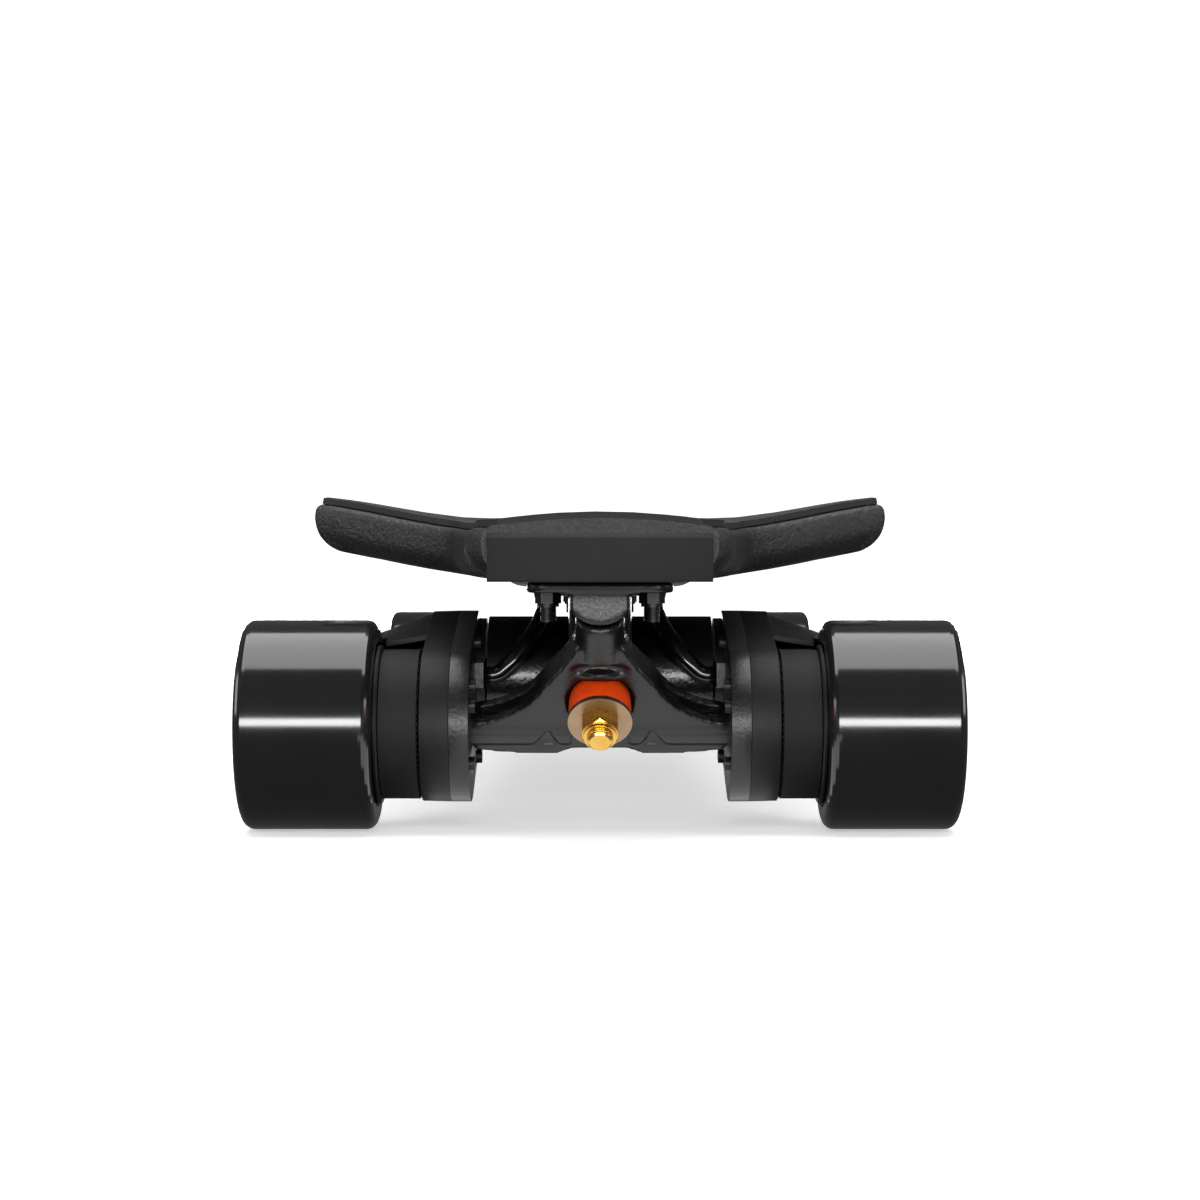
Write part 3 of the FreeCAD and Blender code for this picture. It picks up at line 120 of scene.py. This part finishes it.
# %% [markdown]
# The deck is a moulded composite with a pebbled skin, like the grain on a tool case. The pebbles
# could be displaced geometry, but they are far too many and too shallow, so they are bump. Voronoi
# cells about 1.6 mm across make them, and a finer noise breaks them up. The skin is nearly black
# and catches a soft sheen. Its colour is painted lighter on the pebble tops as painted glints and
# darker between the pebbles as painted shade.

# %% Pebbled composite
def pebbled_composite():
    made, tree, shader, where = start_material("pebbled_moulded_composite", "#1c1d20", 0.45, IOR=1.5)
    pebbles = add(tree, "ShaderNodeTexVoronoi", {"Vector": where, "Scale": per_mm(1.6), "Randomness": 1.0},
                  feature="SMOOTH_F1")
    fine = add(tree, "ShaderNodeTexNoise", {"Vector": where, "Scale": per_mm(0.6), "Detail": 3.0})
    both = add(tree, "ShaderNodeMath", {0: pebbles.outputs["Distance"], 1: fine.outputs["Fac"]},
               operation="ADD")
    # Painted glints and painted shade: the colour is lighter at the pebble centres, which the bump raises,
    # and darker between them.
    add(tree, "ShaderNodeMix",
        {"Factor": pebbles.outputs["Distance"], "A": linear("#2b2c2f"), "B": linear("#121315")},
        feeds=shader.inputs["Base Color"], data_type="RGBA")
    add(tree, "ShaderNodeMapRange", {"Value": fine.outputs["Fac"], "To Min": 0.3, "To Max": 0.5},
        feeds=shader.inputs["Roughness"])
    add(tree, "ShaderNodeBump",
        {"Height": both.outputs["Value"], "Distance": -0.36 * MM},
        feeds=shader.inputs["Normal"])
    return made


# %% [markdown]
# The grip pad is a thin, soft rubbery sheet. Up close it has a very fine, even grain, and its colour
# drifts a little where feet have rubbed it. Small sharp cells draw the grain, since plain noise
# looks cloudy instead of even, and a slow noise, 60 mm across, draws the wear.

# %% Grip pad rubber
def grip_rubber():
    made, tree, shader, where = start_material("grip_foam_rubber", "#161617", 0.7, IOR=1.5)
    worn = add(tree, "ShaderNodeTexNoise", {"Vector": where, "Scale": per_mm(60.0), "Detail": 3.0})
    grain = add(tree, "ShaderNodeTexVoronoi", {"Vector": where, "Scale": per_mm(0.9)})
    add(tree, "ShaderNodeMix",
        {"Factor": worn.outputs["Fac"], "A": linear("#111112"), "B": linear("#1b1b1d")},
        feeds=shader.inputs["Base Color"], data_type="RGBA")
    add(tree, "ShaderNodeMapRange", {"Value": worn.outputs["Fac"], "To Min": 0.6, "To Max": 0.78},
        feeds=shader.inputs["Roughness"])
    add(tree, "ShaderNodeBump",
        {"Height": grain.outputs["Distance"], "Distance": 0.12 * MM},
        feeds=shader.inputs["Normal"])
    return made


# %% [markdown]
# Moulded rubber has a dull, slightly uneven skin: no clear reflections, a soft broad sheen, and
# faint flow marks. One recipe with a few settings serves the bumpers, boots, belts, nylon guards
# and cable jackets, because they differ only in their grey, their gloss and the size of their grain.

# %% Rubbers
def moulded_rubber(name, colour, lighter, roughness, grain_mm=0.8, height_mm=0.05, specular=0.25):
    made, tree, shader, where = start_material(name, colour, roughness, IOR=1.5,
                                               Specular_IOR_Level=specular)
    clouds = add(tree, "ShaderNodeTexNoise", {"Vector": where, "Scale": per_mm(9.0), "Detail": 3.0})
    grain = add(tree, "ShaderNodeTexNoise", {"Vector": where, "Scale": per_mm(grain_mm), "Detail": 3.0})
    add(tree, "ShaderNodeMix", {"Factor": clouds.outputs["Fac"], "A": linear(colour), "B": linear(lighter)},
        feeds=shader.inputs["Base Color"], data_type="RGBA")
    add(tree, "ShaderNodeMapRange",
        {"Value": clouds.outputs["Fac"], "To Min": roughness - 0.06, "To Max": roughness + 0.08},
        feeds=shader.inputs["Roughness"])
    add(tree, "ShaderNodeBump",
        {"Height": grain.outputs["Fac"], "Distance": height_mm * MM},
        feeds=shader.inputs["Normal"])
    return made


# %% [markdown]
# The trucks are cast aluminium under a satin black powder coat. Powder melts into a film with a
# gentle orange peel about 1.5 mm across, over the slight waviness of the casting below it. Two
# noises added together give both, which one noise with more detail would not. Paint is not a metal
# to the eye, so metallic stays 0.

# %% Powder-coated castings
def powder_coat(name, colour, lighter, roughness):
    made, tree, shader, where = start_material(name, colour, roughness, IOR=1.5)
    peel = add(tree, "ShaderNodeTexNoise", {"Vector": where, "Scale": per_mm(1.5), "Detail": 1.0})
    casting = add(tree, "ShaderNodeTexNoise", {"Vector": where, "Scale": per_mm(14.0), "Detail": 3.0})
    height = add(tree, "ShaderNodeMath",
                 {0: peel.outputs["Fac"], 1: casting.outputs["Fac"]},
                 operation="ADD")
    add(tree, "ShaderNodeMix",
        {"Factor": casting.outputs["Fac"], "A": linear(colour), "B": linear(lighter)},
        feeds=shader.inputs["Base Color"], data_type="RGBA")
    add(tree, "ShaderNodeMapRange",
        {"Value": peel.outputs["Fac"], "To Min": roughness - 0.08, "To Max": roughness + 0.08},
        feeds=shader.inputs["Roughness"])
    add(tree, "ShaderNodeBump",
        {"Height": height.outputs["Value"], "Distance": 0.1 * MM},
        feeds=shader.inputs["Normal"])
    return made


# %% [markdown]
# Plated and machined steel keep fine turning lines. Stretching a noise along one axis draws them:
# across a turned part the noise is squeezed to a fraction of a millimetre, and along it the noise
# hardly changes. Yellow zinc plating drifts between straw and pinkish gold.

# %% Metals
def plated_steel(name, colour, lighter, roughness, metallic=1.0):
    made, tree, shader, where = start_material(name, colour, roughness, Metallic=metallic)
    stretch = add(tree, "ShaderNodeMapping", {"Vector": where, "Scale": (1.0, 0.12, 1.0)})
    lines = add(tree, "ShaderNodeTexNoise",
                {"Vector": stretch.outputs["Vector"], "Scale": per_mm(0.35), "Detail": 3.0})
    tint = add(tree, "ShaderNodeTexNoise", {"Vector": where, "Scale": per_mm(5.0), "Detail": 3.0})
    add(tree, "ShaderNodeMix", {"Factor": tint.outputs["Fac"], "A": linear(colour), "B": linear(lighter)},
        feeds=shader.inputs["Base Color"], data_type="RGBA")
    add(tree, "ShaderNodeMapRange",
        {"Value": lines.outputs["Fac"], "To Min": roughness - 0.06, "To Max": roughness + 0.1},
        feeds=shader.inputs["Roughness"])
    add(tree, "ShaderNodeBump",
        {"Height": lines.outputs["Fac"], "Distance": 0.02 * MM},
        feeds=shader.inputs["Normal"])
    return made


# %% [markdown]
# The wheels are cast polyurethane, polished by the mould. The surface is almost smooth and quite
# glossy, so it shows the studio lights as crisp streaks. A faint haze varies the gloss, and a very
# fine grain keeps the streaks from looking like glass. The bushings are a clear orange urethane with
# a duller skin, and light goes a little way into them.

# %% Polyurethane
def wheel_urethane():
    made, tree, shader, where = start_material(
        "cast_polyurethane_black", "#1a1a1b", 0.12, IOR=1.5, Specular_IOR_Level=0.75)
    haze = add(tree, "ShaderNodeTexNoise", {"Vector": where, "Scale": per_mm(30.0), "Detail": 2.0})
    grain = add(tree, "ShaderNodeTexNoise", {"Vector": where, "Scale": per_mm(0.7), "Detail": 3.0})
    add(tree, "ShaderNodeMix",
        {"Factor": haze.outputs["Fac"], "A": linear("#171718"), "B": linear("#1e1e1f")},
        feeds=shader.inputs["Base Color"], data_type="RGBA")
    add(tree, "ShaderNodeMapRange", {"Value": haze.outputs["Fac"], "To Min": 0.09, "To Max": 0.16},
        feeds=shader.inputs["Roughness"])
    add(tree, "ShaderNodeBump",
        {"Height": grain.outputs["Fac"], "Distance": 0.004 * MM},
        feeds=shader.inputs["Normal"])
    return made


def bushing_urethane():
    made, tree, shader, where = start_material(
        "cast_polyurethane_orange", "#ff4a00", 0.42, IOR=1.5, Subsurface_Weight=0.1,
        Subsurface_Scale=0.003, Specular_IOR_Level=0.3)
    shader.inputs["Subsurface Radius"].default_value = (1.0, 0.35, 0.1)
    clouds = add(tree, "ShaderNodeTexNoise", {"Vector": where, "Scale": per_mm(6.0), "Detail": 3.0})
    grain = add(tree, "ShaderNodeTexNoise", {"Vector": where, "Scale": per_mm(0.7), "Detail": 3.0})
    add(tree, "ShaderNodeMix",
        {"Factor": clouds.outputs["Fac"], "A": linear("#fa4200"), "B": linear("#ff5608")},
        feeds=shader.inputs["Base Color"], data_type="RGBA")
    add(tree, "ShaderNodeBump",
        {"Height": grain.outputs["Fac"], "Distance": 0.03 * MM},
        feeds=shader.inputs["Normal"])
    return made


# %% [markdown]
# Small hidden parts get honest finishes too: the wound motor core shows enamelled copper wire, the
# circuit board a green solder mask, and the cells a blue shrink sleeve. Bands, bricks and clouds
# stand for windings, traces and wrinkles, which nobody sees close up.

# %% Inner parts
def copper_winding():
    made, tree, shader, where = start_material("enamelled_copper_wire", "#a8581f", 0.35, Metallic=1.0)
    strands = add(tree, "ShaderNodeTexWave", {"Vector": where, "Scale": per_mm(4.0), "Distortion": 0.6},
                  bands_direction="X")
    add(tree, "ShaderNodeMix",
        {"Factor": strands.outputs["Fac"], "A": linear("#7c3f14"), "B": linear("#c0702c")},
        feeds=shader.inputs["Base Color"], data_type="RGBA")
    add(tree, "ShaderNodeBump",
        {"Height": strands.outputs["Fac"], "Distance": 0.3 * MM},
        feeds=shader.inputs["Normal"])
    return made


def solder_mask():
    made, tree, shader, where = start_material("green_solder_mask", "#0f4a2a", 0.3, IOR=1.5)
    traces = add(tree, "ShaderNodeTexBrick", {"Vector": where, "Scale": per_mm(12.0)})
    add(tree, "ShaderNodeMix",
        {"Factor": traces.outputs["Fac"], "A": linear("#0f4a2a"), "B": linear("#1f6b3f")},
        feeds=shader.inputs["Base Color"], data_type="RGBA")
    add(tree, "ShaderNodeBump",
        {"Height": traces.outputs["Fac"], "Distance": 0.03 * MM},
        feeds=shader.inputs["Normal"])
    return made


def shrink_sleeve():
    made, tree, shader, where = start_material("blue_pvc_shrink_sleeve", "#1d4f9e", 0.3, IOR=1.54)
    wrinkles = add(tree, "ShaderNodeTexNoise", {"Vector": where, "Scale": per_mm(4.0), "Detail": 3.0})
    add(tree, "ShaderNodeMix",
        {"Factor": wrinkles.outputs["Fac"], "A": linear("#1a478f"), "B": linear("#2358ac")},
        feeds=shader.inputs["Base Color"], data_type="RGBA")
    add(tree, "ShaderNodeBump",
        {"Height": wrinkles.outputs["Fac"], "Distance": 0.08 * MM},
        feeds=shader.inputs["Normal"])
    return made


# %% [markdown]
# Every finish is made once and kept by a short word, so that a change to one recipe reaches every
# part that wears it. Black steel is oxide over metal, so it is only partly metallic.

# %% Make every finish once
finish = {
    "composite": pebbled_composite(),
    "grip": grip_rubber(),
    "bumper": moulded_rubber("natural_rubber_charcoal", "#19191a", "#222223", 0.66,
                             grain_mm=0.7, height_mm=0.05),
    "boot": moulded_rubber("soft_rubber_black", "#141414", "#1d1d1d", 0.6),
    "belt": moulded_rubber("chloroprene_belt_rubber", "#161616", "#202020", 0.65,
                           grain_mm=0.4, height_mm=0.06),
    "cable": moulded_rubber("pvc_cable_jacket", "#0b0b0c", "#111112", 0.14,
                            grain_mm=2.0, height_mm=0.01, specular=0.7),
    "lead": moulded_rubber("red_silicone_lead", "#8c1414", "#a02020", 0.45),
    "casting": powder_coat("powder_coated_cast_aluminium", "#0e0e0f", "#151516", 0.34),
    "plate": powder_coat("black_anodised_aluminium", "#101112", "#17181a", 0.36),
    "nylon": moulded_rubber("glass_filled_nylon_black", "#131314", "#1a1a1b", 0.52,
                            grain_mm=0.9, height_mm=0.04),
    "core": moulded_rubber("moulded_nylon_core", "#101011", "#171718", 0.35,
                           grain_mm=0.9, height_mm=0.03),
    "black_steel": plated_steel("black_oxide_steel", "#1d1d1f", "#2a2a2c", 0.36, metallic=0.7),
    "gold": plated_steel("yellow_zinc_plated_steel", "#c99a45", "#e0b866", 0.24),
    "bronze": plated_steel("dull_zinc_plated_washer", "#8b745c", "#a48c70", 0.34),
    "zinc": plated_steel("bright_zinc_plated_steel", "#a9abad", "#c3c5c7", 0.3),
    "bearing": plated_steel("ground_bearing_steel", "#b9bbbd", "#cfd1d2", 0.22),
    "alloy": plated_steel("anodised_aluminium_grey", "#6e7174", "#83868a", 0.36),
    "can": powder_coat("satin_black_motor_can", "#0c0c0d", "#131314", 0.22),
    "urethane": wheel_urethane(),
    "bushing": bushing_urethane(),
    "copper": copper_winding(),
    "board": solder_mask(),
    "sleeve": shrink_sleeve(),
}
print("finishes made:", len(finish))

# %% [markdown]
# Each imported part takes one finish. The list goes by the words in the part's name, and the first
# word that fits wins, so left, right, front and rear parts are dressed alike.

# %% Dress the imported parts
WORD_FINISH = [
    ("deck_body", "composite"), ("grip_pad", "grip"), ("bumper", "bumper"), ("belt_cover", "nylon"),
    ("cover_screws", "black_steel"), ("_cover", "nylon"), ("cells", "sleeve"), ("board", "board"),
    ("controller", "alloy"), ("leads", "lead"), ("socket", "nylon"), ("charge_cap", "boot"),
    ("bezel", "alloy"), ("button", "nylon"), ("glands", "boot"), ("baseplate", "casting"),
    ("truck_bolts", "black_steel"), ("truck_nuts", "black_steel"), ("kingpin", "gold"),
    ("bushings", "bushing"), ("pivot_cups", "boot"), ("hanger", "casting"), ("fasteners", "zinc"),
    ("axle", "zinc"), ("tyre", "urethane"), ("core", "core"), ("bearings", "bearing"),
    ("wheel_pulley", "nylon"), ("motor_pulley", "alloy"), ("motor_rotor", "can"),
    ("motor_stator", "copper"), ("motor_mount", "plate"), ("mount_screws", "black_steel"),
    ("drive_belt", "belt"), ("motor_cable", "cable"),
]


def finish_of(name):
    return finish[next(kind for word, kind in WORD_FINISH if word in name)]


for name, part in nodes.items():
    part.data.materials.clear()
    part.data.materials.append(finish_of(name))
print("parts dressed:", len(nodes))

# %% [markdown]
# Two kinds of part hold pieces of different finishes in one mesh. They could be cut apart, but a
# mesh may carry several materials, so their faces are sorted by where they lie instead. Along each
# kingpin the washers come before the nut, and in each motor the wound core fills the ring between
# the bearing tube and the magnets. The steering joints give the kingpins' places: a kingpin stands
# square to its steering axis.

# %% Parts with two finishes
joint_at = {j["name"]: (Vector(j["pos_m"]), Vector(j["axis"]).normalized())
            for j in frame["record"]["behaviour"]["joints"] if "pos_m" in j}


def kingpin_line(end):
    """Where the hanger's ring sits, and the direction down along the kingpin."""
    ring, steer = joint_at[f"{end}_steer"]
    down = Vector((1, 0, 0)).cross(steer)
    return ring, down if down.z < 0 else -down


def two_finishes(part, first, second, is_second):
    part.data.materials.clear()
    part.data.materials.append(first)
    part.data.materials.append(second)
    chosen = [int(is_second(part.matrix_world @ face.center)) for face in part.data.polygons]
    part.data.polygons.foreach_set("material_index", chosen)


NUT_START = 18.95 * MM               # along the kingpin from the ring
TUBE_RADIUS = 8.6 * MM               # the motor's bearing tube, inside its wound core
CORE_ENDS = (18.4 * MM, 43.6 * MM)   # the wound core's ends, from the board's middle line


def on_a_nut(point):
    ring, down = kingpin_line("front" if point.y > 0 else "rear")
    return (point - ring).dot(down) > NUT_START


two_finishes(nodes["kingpin_fasteners"], finish["bronze"], finish["gold"], on_a_nut)
for side in ("left", "right"):
    middle = joint_at[f"motor_{side}_spin"][0]

    def in_the_core(point, middle=middle):
        off = point - middle
        return math.hypot(off.y, off.z) > TUBE_RADIUS and CORE_ENDS[0] < abs(point.x) < CORE_ENDS[1]

    two_finishes(nodes[f"motor_stator_{side}"], finish["plate"], finish["copper"], in_the_core)
print("parts with two finishes: 3")

# %% [markdown]
# The hangers and baseplates are castings, so nothing on them has a sharp edge. Bevelling hundreds
# of edges that meet at all angles often fails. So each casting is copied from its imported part,
# rebuilt from an even grid of small cells, and relaxed, which rounds every edge by a millimetre or
# two and leaves a small fillet in every corner.

# %% Castings
def bmesh_to_mesh(name, bm):
    mesh = bpy.data.meshes.new(name)
    bm.to_mesh(mesh)
    bm.free()
    return mesh


def new_piece(name, mesh, material):
    made = bpy.data.objects.new(name, mesh)
    bpy.context.scene.collection.objects.link(made)
    mesh.materials.clear()
    mesh.materials.append(material)
    mesh.polygons.foreach_set("use_smooth", [True] * len(mesh.polygons))
    return made


def copy_mesh(node, name):
    """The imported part's mesh in the row frame, with its split points merged."""
    bm = bmesh.new()
    bm.from_mesh(nodes[node].data)
    bmesh.ops.transform(bm, matrix=nodes[node].matrix_world, verts=bm.verts)
    bmesh.ops.remove_doubles(bm, verts=bm.verts, dist=0.002 * MM)
    return bmesh_to_mesh(name, bm)


def keep_modifiers(made):
    """Turns the modifiers' result into the object's own mesh."""
    graph = bpy.context.evaluated_depsgraph_get()
    made.data = bpy.data.meshes.new_from_object(made.evaluated_get(graph))
    made.modifiers.clear()
    return made


def casting(node, body, cell_mm, passes):
    made = new_piece(f"cast_{node}", copy_mesh(node, f"cast_{node}"), finish["casting"])
    grid = made.modifiers.new("even_cells", "REMESH")
    grid.mode = "VOXEL"
    grid.voxel_size = cell_mm * MM
    grid.use_smooth_shade = True
    relax = made.modifiers.new("relax", "SMOOTH")
    relax.iterations = passes
    keep_modifiers(made)
    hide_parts(node)
    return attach(made, body)


CELL = 0.9                    # millimetres; a finer grid keeps more of the sharp edges
for end in ("front", "rear"):
    hanger = casting(f"{end}_hanger", f"{end}_hanger", CELL, passes=9)
    plate = casting(f"{end}_baseplate", "deck", CELL, passes=3)
    print(end, "castings:", len(hanger.data.polygons), "and", len(plate.data.polygons), "faces")

# %% [markdown]
# Moulded and machined pieces have flat faces with narrow eased edges, so here a bevel is right and
# a remesh would blur the faces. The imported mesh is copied, its flat triangles are merged into whole
# faces, and each edge sharper than 30 degrees is bevelled with three small steps.

# %% Eased pieces
def eased(node, body, width_mm, material):
    mesh = copy_mesh(node, f"eased_{node}")
    bm = bmesh.new()
    bm.from_mesh(mesh)
    bmesh.ops.dissolve_limit(bm, angle_limit=math.radians(0.5), verts=bm.verts, edges=bm.edges)
    sharp = [e for e in bm.edges if e.is_manifold and e.calc_face_angle(0.0) > math.radians(30)]
    bmesh.ops.bevel(bm, geom=sharp, offset=width_mm * MM, offset_type="OFFSET", affect="EDGES",
                    segments=3, profile=0.5, material=-1, clamp_overlap=True)
    bm.to_mesh(mesh)
    bm.free()
    made = new_piece(f"eased_{node}", mesh, material)
    made.data.set_sharp_from_angle(angle=math.radians(35))
    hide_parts(node)
    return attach(made, body)


for end in ("nose", "tail"):
    eased(f"{end}_bumper", "deck", 0.9, finish["bumper"])
for side in ("left", "right"):
    eased(f"belt_cover_{side}", "rear_hanger", 0.5, finish["nylon"])
    eased(f"motor_mount_{side}", "rear_hanger", 0.6, finish["plate"])
print("eased pieces: 6")

# %% [markdown]
# The bushings are cast urethane barrels that bulge slightly. A cylinder with loop cuts could be
# scaled to that shape, but drawing half of the outline beside an axis and spinning it once round
# gives the bore, the rims and the bulge in one step. Each bushing sits between a washer, which
# belongs to the deck's side, and the hanger's ring.

# %% Bushings
def turned(name, outline, start, along, material):
    """outline is a closed loop of (distance from the axis, distance along it) in millimetres."""
    side = Vector((1, 0, 0))
    bm = bmesh.new()
    verts = [bm.verts.new(start + side * r * MM + along * t * MM) for r, t in outline]
    edges = [bm.edges.new((a, b)) for a, b in zip(verts, verts[1:] + verts[:1])]
    bmesh.ops.spin(bm, geom=verts + edges, cent=start, axis=along, angle=2 * math.pi, steps=56,
                   use_merge=True)
    bmesh.ops.recalc_face_normals(bm, faces=bm.faces)
    return new_piece(name, bmesh_to_mesh(name, bm), material)


def barrel(length, radius, bore):
    """A barrel's outline: rounded rims and a side that bulges by a third of a millimetre."""
    rim = [(radius - 1.0 + math.sin(a), 1.0 - math.cos(a)) for a in (0, 0.5, 1.0, 1.5)]
    bulge = [(radius + 0.3 * math.sin(math.pi * u), u * length) for u in (0.2, 0.35, 0.5, 0.65, 0.8)]
    return [(bore, 0.0)] + rim + bulge + [(r, length - t) for r, t in reversed(rim)] + [(bore, length)]


BUSHING_RADIUS = 12.2
BUSHING_BORE = 5.3
BUSHINGS = {"roadside": (4.0, 13.5), "boardside": (-4.0, -11.4)}    # start and length along the kingpin

for end in ("front", "rear"):
    ring, down = kingpin_line(end)
    for name, (start, length) in BUSHINGS.items():
        along = down if length > 0 else -down
        foot = ring + down * start * MM
        outline = barrel(abs(length), BUSHING_RADIUS, BUSHING_BORE)
        made = turned(f"{end}_{name}_bushing", outline, foot, along, finish["bushing"])
        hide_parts(f"{end}_bushings")
        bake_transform(made)
print("bushings made: 4")

# %% [markdown]
# Each motor cable starts at its boot under the deck and ends at a motor, which steers with the
# hanger. Its route is the imported cable's own.

# %% Motor cables
for side, sign in (("left", -1), ("right", 1)):
    mesh = copy_mesh(f"motor_cable_{side}", f"flexing_cable_{side}")
    made = new_piece(f"flexing_cable_{side}", mesh, finish["cable"])
    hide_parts(f"motor_cable_{side}")
    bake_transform(made)

# %% [markdown]
# A screw thread is a small triangle carried round the bolt while it climbs. A Screw modifier can
# draw one, and so can spin when it is also given a step along the axis, which puts many threads in
# one mesh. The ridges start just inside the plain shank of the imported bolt, so only their crests
# show.

# %% Threads
STEPS_PER_TURN = 20
ROOT_IN = 0.15                # the ridge's foot lies this far inside the shank


def add_thread(bm, start, along, radius, depth, pitch, length):
    """One thread; radius is the plain shank's, and every size is in millimetres."""
    side = along.orthogonal().normalized()
    corners = [(radius - ROOT_IN, 0.0), (radius + depth, pitch / 2), (radius - ROOT_IN, pitch)]
    verts = [bm.verts.new(start + side * r * MM + along * t * MM) for r, t in corners]
    edges = [bm.edges.new((a, b)) for a, b in zip(verts, verts[1:] + verts[:1])]
    bm.faces.new(verts)
    turns = length / pitch - 1.0
    spun = bmesh.ops.spin(bm, geom=verts + edges, cent=start, axis=along, angle=2 * math.pi * turns,
                          steps=round(turns * STEPS_PER_TURN), dvec=along * pitch / STEPS_PER_TURN * MM)
    bm.faces.new([v for v in spun["geom_last"] if isinstance(v, bmesh.types.BMVert)])


def threads(name, lines, radius, depth, pitch, length, material):
    """One piece with a thread at each (start, direction)."""
    bm = bmesh.new()
    for start, along in lines:
        add_thread(bm, start, along, radius, depth, pitch, length)
    bmesh.ops.recalc_face_normals(bm, faces=bm.faces)
    made = new_piece(name, bmesh_to_mesh(name, bm), material)
    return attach(made, "deck")


BOLTS_ACROSS = 41.3           # between the truck bolts across the board
BOLTS_ALONG = 63.5            # and along it
PATTERN_Y = 373.25            # middle of each truck's four bolts
BOLT_THREAD_Z = 84.5          # the lowest ridge
PIN_THREAD_START = 25.6       # along the kingpin from the ring, past the nut

UP = Vector((0, 0, 1))
bolt_ends = [Vector((x, middle + y, BOLT_THREAD_Z)) * MM
             for x in (-BOLTS_ACROSS / 2, BOLTS_ACROSS / 2)
             for middle in (-PATTERN_Y, PATTERN_Y)
             for y in (-BOLTS_ALONG / 2, BOLTS_ALONG / 2)]
threads("truck_bolt_threads", [(at, UP) for at in bolt_ends], radius=2.45, depth=0.3, pitch=0.8,
        length=5.6, material=finish["black_steel"])

pins = []
for end in ("front", "rear"):
    ring, down = kingpin_line(end)
    pins.append((ring + down * PIN_THREAD_START * MM, down))
threads("kingpin_threads", pins, radius=4.9, depth=0.25, pitch=1.25, length=4.4, material=finish["gold"])
print("threads made on", len(bolt_ends), "bolts and", len(pins), "kingpins")

# %% [markdown]
# The studio is a pale floor and a white surround, as in a product shop's booth. A white world would
# light everything from all sides and wash out the blacks. So the surround is a mesh that only the
# camera sees, and the floor lights nothing either.

# %% Floor and surround
def plain_stage_material(name, colour, glow):
    made, tree, shader, where = start_material(name, colour, 0.9)
    shader.inputs["Emission Color"].default_value = linear(colour)
    shader.inputs["Emission Strength"].default_value = glow
    return made


def stage_object(name, mesh, material):
    made = bpy.data.objects.new(name, mesh)
    bpy.context.scene.collection.objects.link(made)
    mesh.materials.append(material)
    return made


bm = bmesh.new()
bmesh.ops.create_circle(bm, cap_ends=True, segments=96, radius=2.4)
bmesh.ops.translate(bm, verts=bm.verts, vec=(0, 0, -0.0005))
floor = stage_object("studio_floor", bmesh_to_mesh("studio_floor", bm),
                     plain_stage_material("pale_paper_floor", "#f2f2f2", 0.5))
for ray in ("visible_diffuse", "visible_glossy"):
    setattr(floor, ray, False)

bm = bmesh.new()
bmesh.ops.create_icosphere(bm, subdivisions=4, radius=7.2)
bmesh.ops.reverse_faces(bm, faces=bm.faces)
surround = stage_object("studio_surround", bmesh_to_mesh("studio_surround", bm),
                        plain_stage_material("white_surround", "#ffffff", 1.0))
for ray in ("visible_diffuse", "visible_glossy", "visible_transmission", "visible_shadow"):
    setattr(surround, ray, False)
print("studio pieces:", floor.name, "and", surround.name)

# %% [markdown]
# Black things are shown by what they reflect, so the lamps are chosen for their reflections. A broad
# lamp overhead models the deck's top and rails, and a long low strip beyond each end draws the
# bright line along each wheel. The strips show only in reflections, so they leave the floor alone,
# and two fills do the opposite: they light colours without adding a reflection of their own. The
# kingpins' washers tilt down towards the floor, so a small card lies there for them to mirror.

# %% Lamps
def soft_lamp(name, at, towards, size, watts):
    lamp = bpy.data.lights.new(name, "AREA")
    lamp.shape = "RECTANGLE"
    lamp.size, lamp.size_y = size
    lamp.energy = watts
    made = bpy.data.objects.new(name, lamp)
    made.location = at
    made.rotation_euler = (Vector(towards) - Vector(at)).to_track_quat("-Z", "Y").to_euler()
    bpy.context.scene.collection.objects.link(made)
    return made


soft_lamp("overhead_softbox", (0, -0.2, 1.7), (0, 0, 0.1), (2.2, 1.8), 42)
for name, y in (("low_strip", -2.9), ("low_strip_far", 2.9)):
    strip = soft_lamp(name, (0, y, 0.26), (0, y * 0.1, 0.06), (3.4, 0.34), 60)
    strip.visible_diffuse = False
soft_lamp("left_softbox", (-2.4, -0.6, 0.9), (0, 0, 0.1), (1.2, 1.2), 14)
soft_lamp("right_softbox", (2.4, -0.6, 0.9), (0, 0, 0.1), (1.2, 1.2), 14)

for name, y in (("tail_fill", -2.3), ("nose_fill", 2.3)):
    fill = soft_lamp(name, (0, y, 0.7), (0, y * 0.15, 0.06), (1.4, 0.8), 26)
    fill.visible_glossy = False

for name, y in (("tail_card", -0.5), ("nose_card", 0.5)):
    card = soft_lamp(name, (0, y, 0.002), (0, y, 1.0), (0.14, 0.3), 0.16)
    card.visible_camera = False
    card.visible_diffuse = False

world = bpy.data.worlds.new("studio_air")
world.use_nodes = True
world.node_tree.nodes["Background"].inputs["Color"].default_value = (1, 1, 1, 1)
world.node_tree.nodes["Background"].inputs["Strength"].default_value = 0.12
bpy.context.scene.world = world
print("lamps:", len(bpy.data.lights))

# %% [markdown]
# The camera stands level behind the board, a little above the deck's underside, about a metre from
# the rear axle. A 75 mm lens from there gives the strong but natural perspective of a close look at
# the tail.

# %% Camera
camera = bpy.data.cameras.new("camera")
camera.lens = 74.9
camera.sensor_width = 36.0
camera_object = bpy.data.objects.new("camera", camera)
camera_object.location = (0.0, -1.375, 0.093)
camera_object.rotation_euler = (math.radians(90), 0, 0)
bpy.context.scene.collection.objects.link(camera_object)
bpy.context.scene.camera = camera_object
bpy.context.scene.view_settings.view_transform = "Standard"
print("camera lens:", round(camera.lens, 1), "mm")
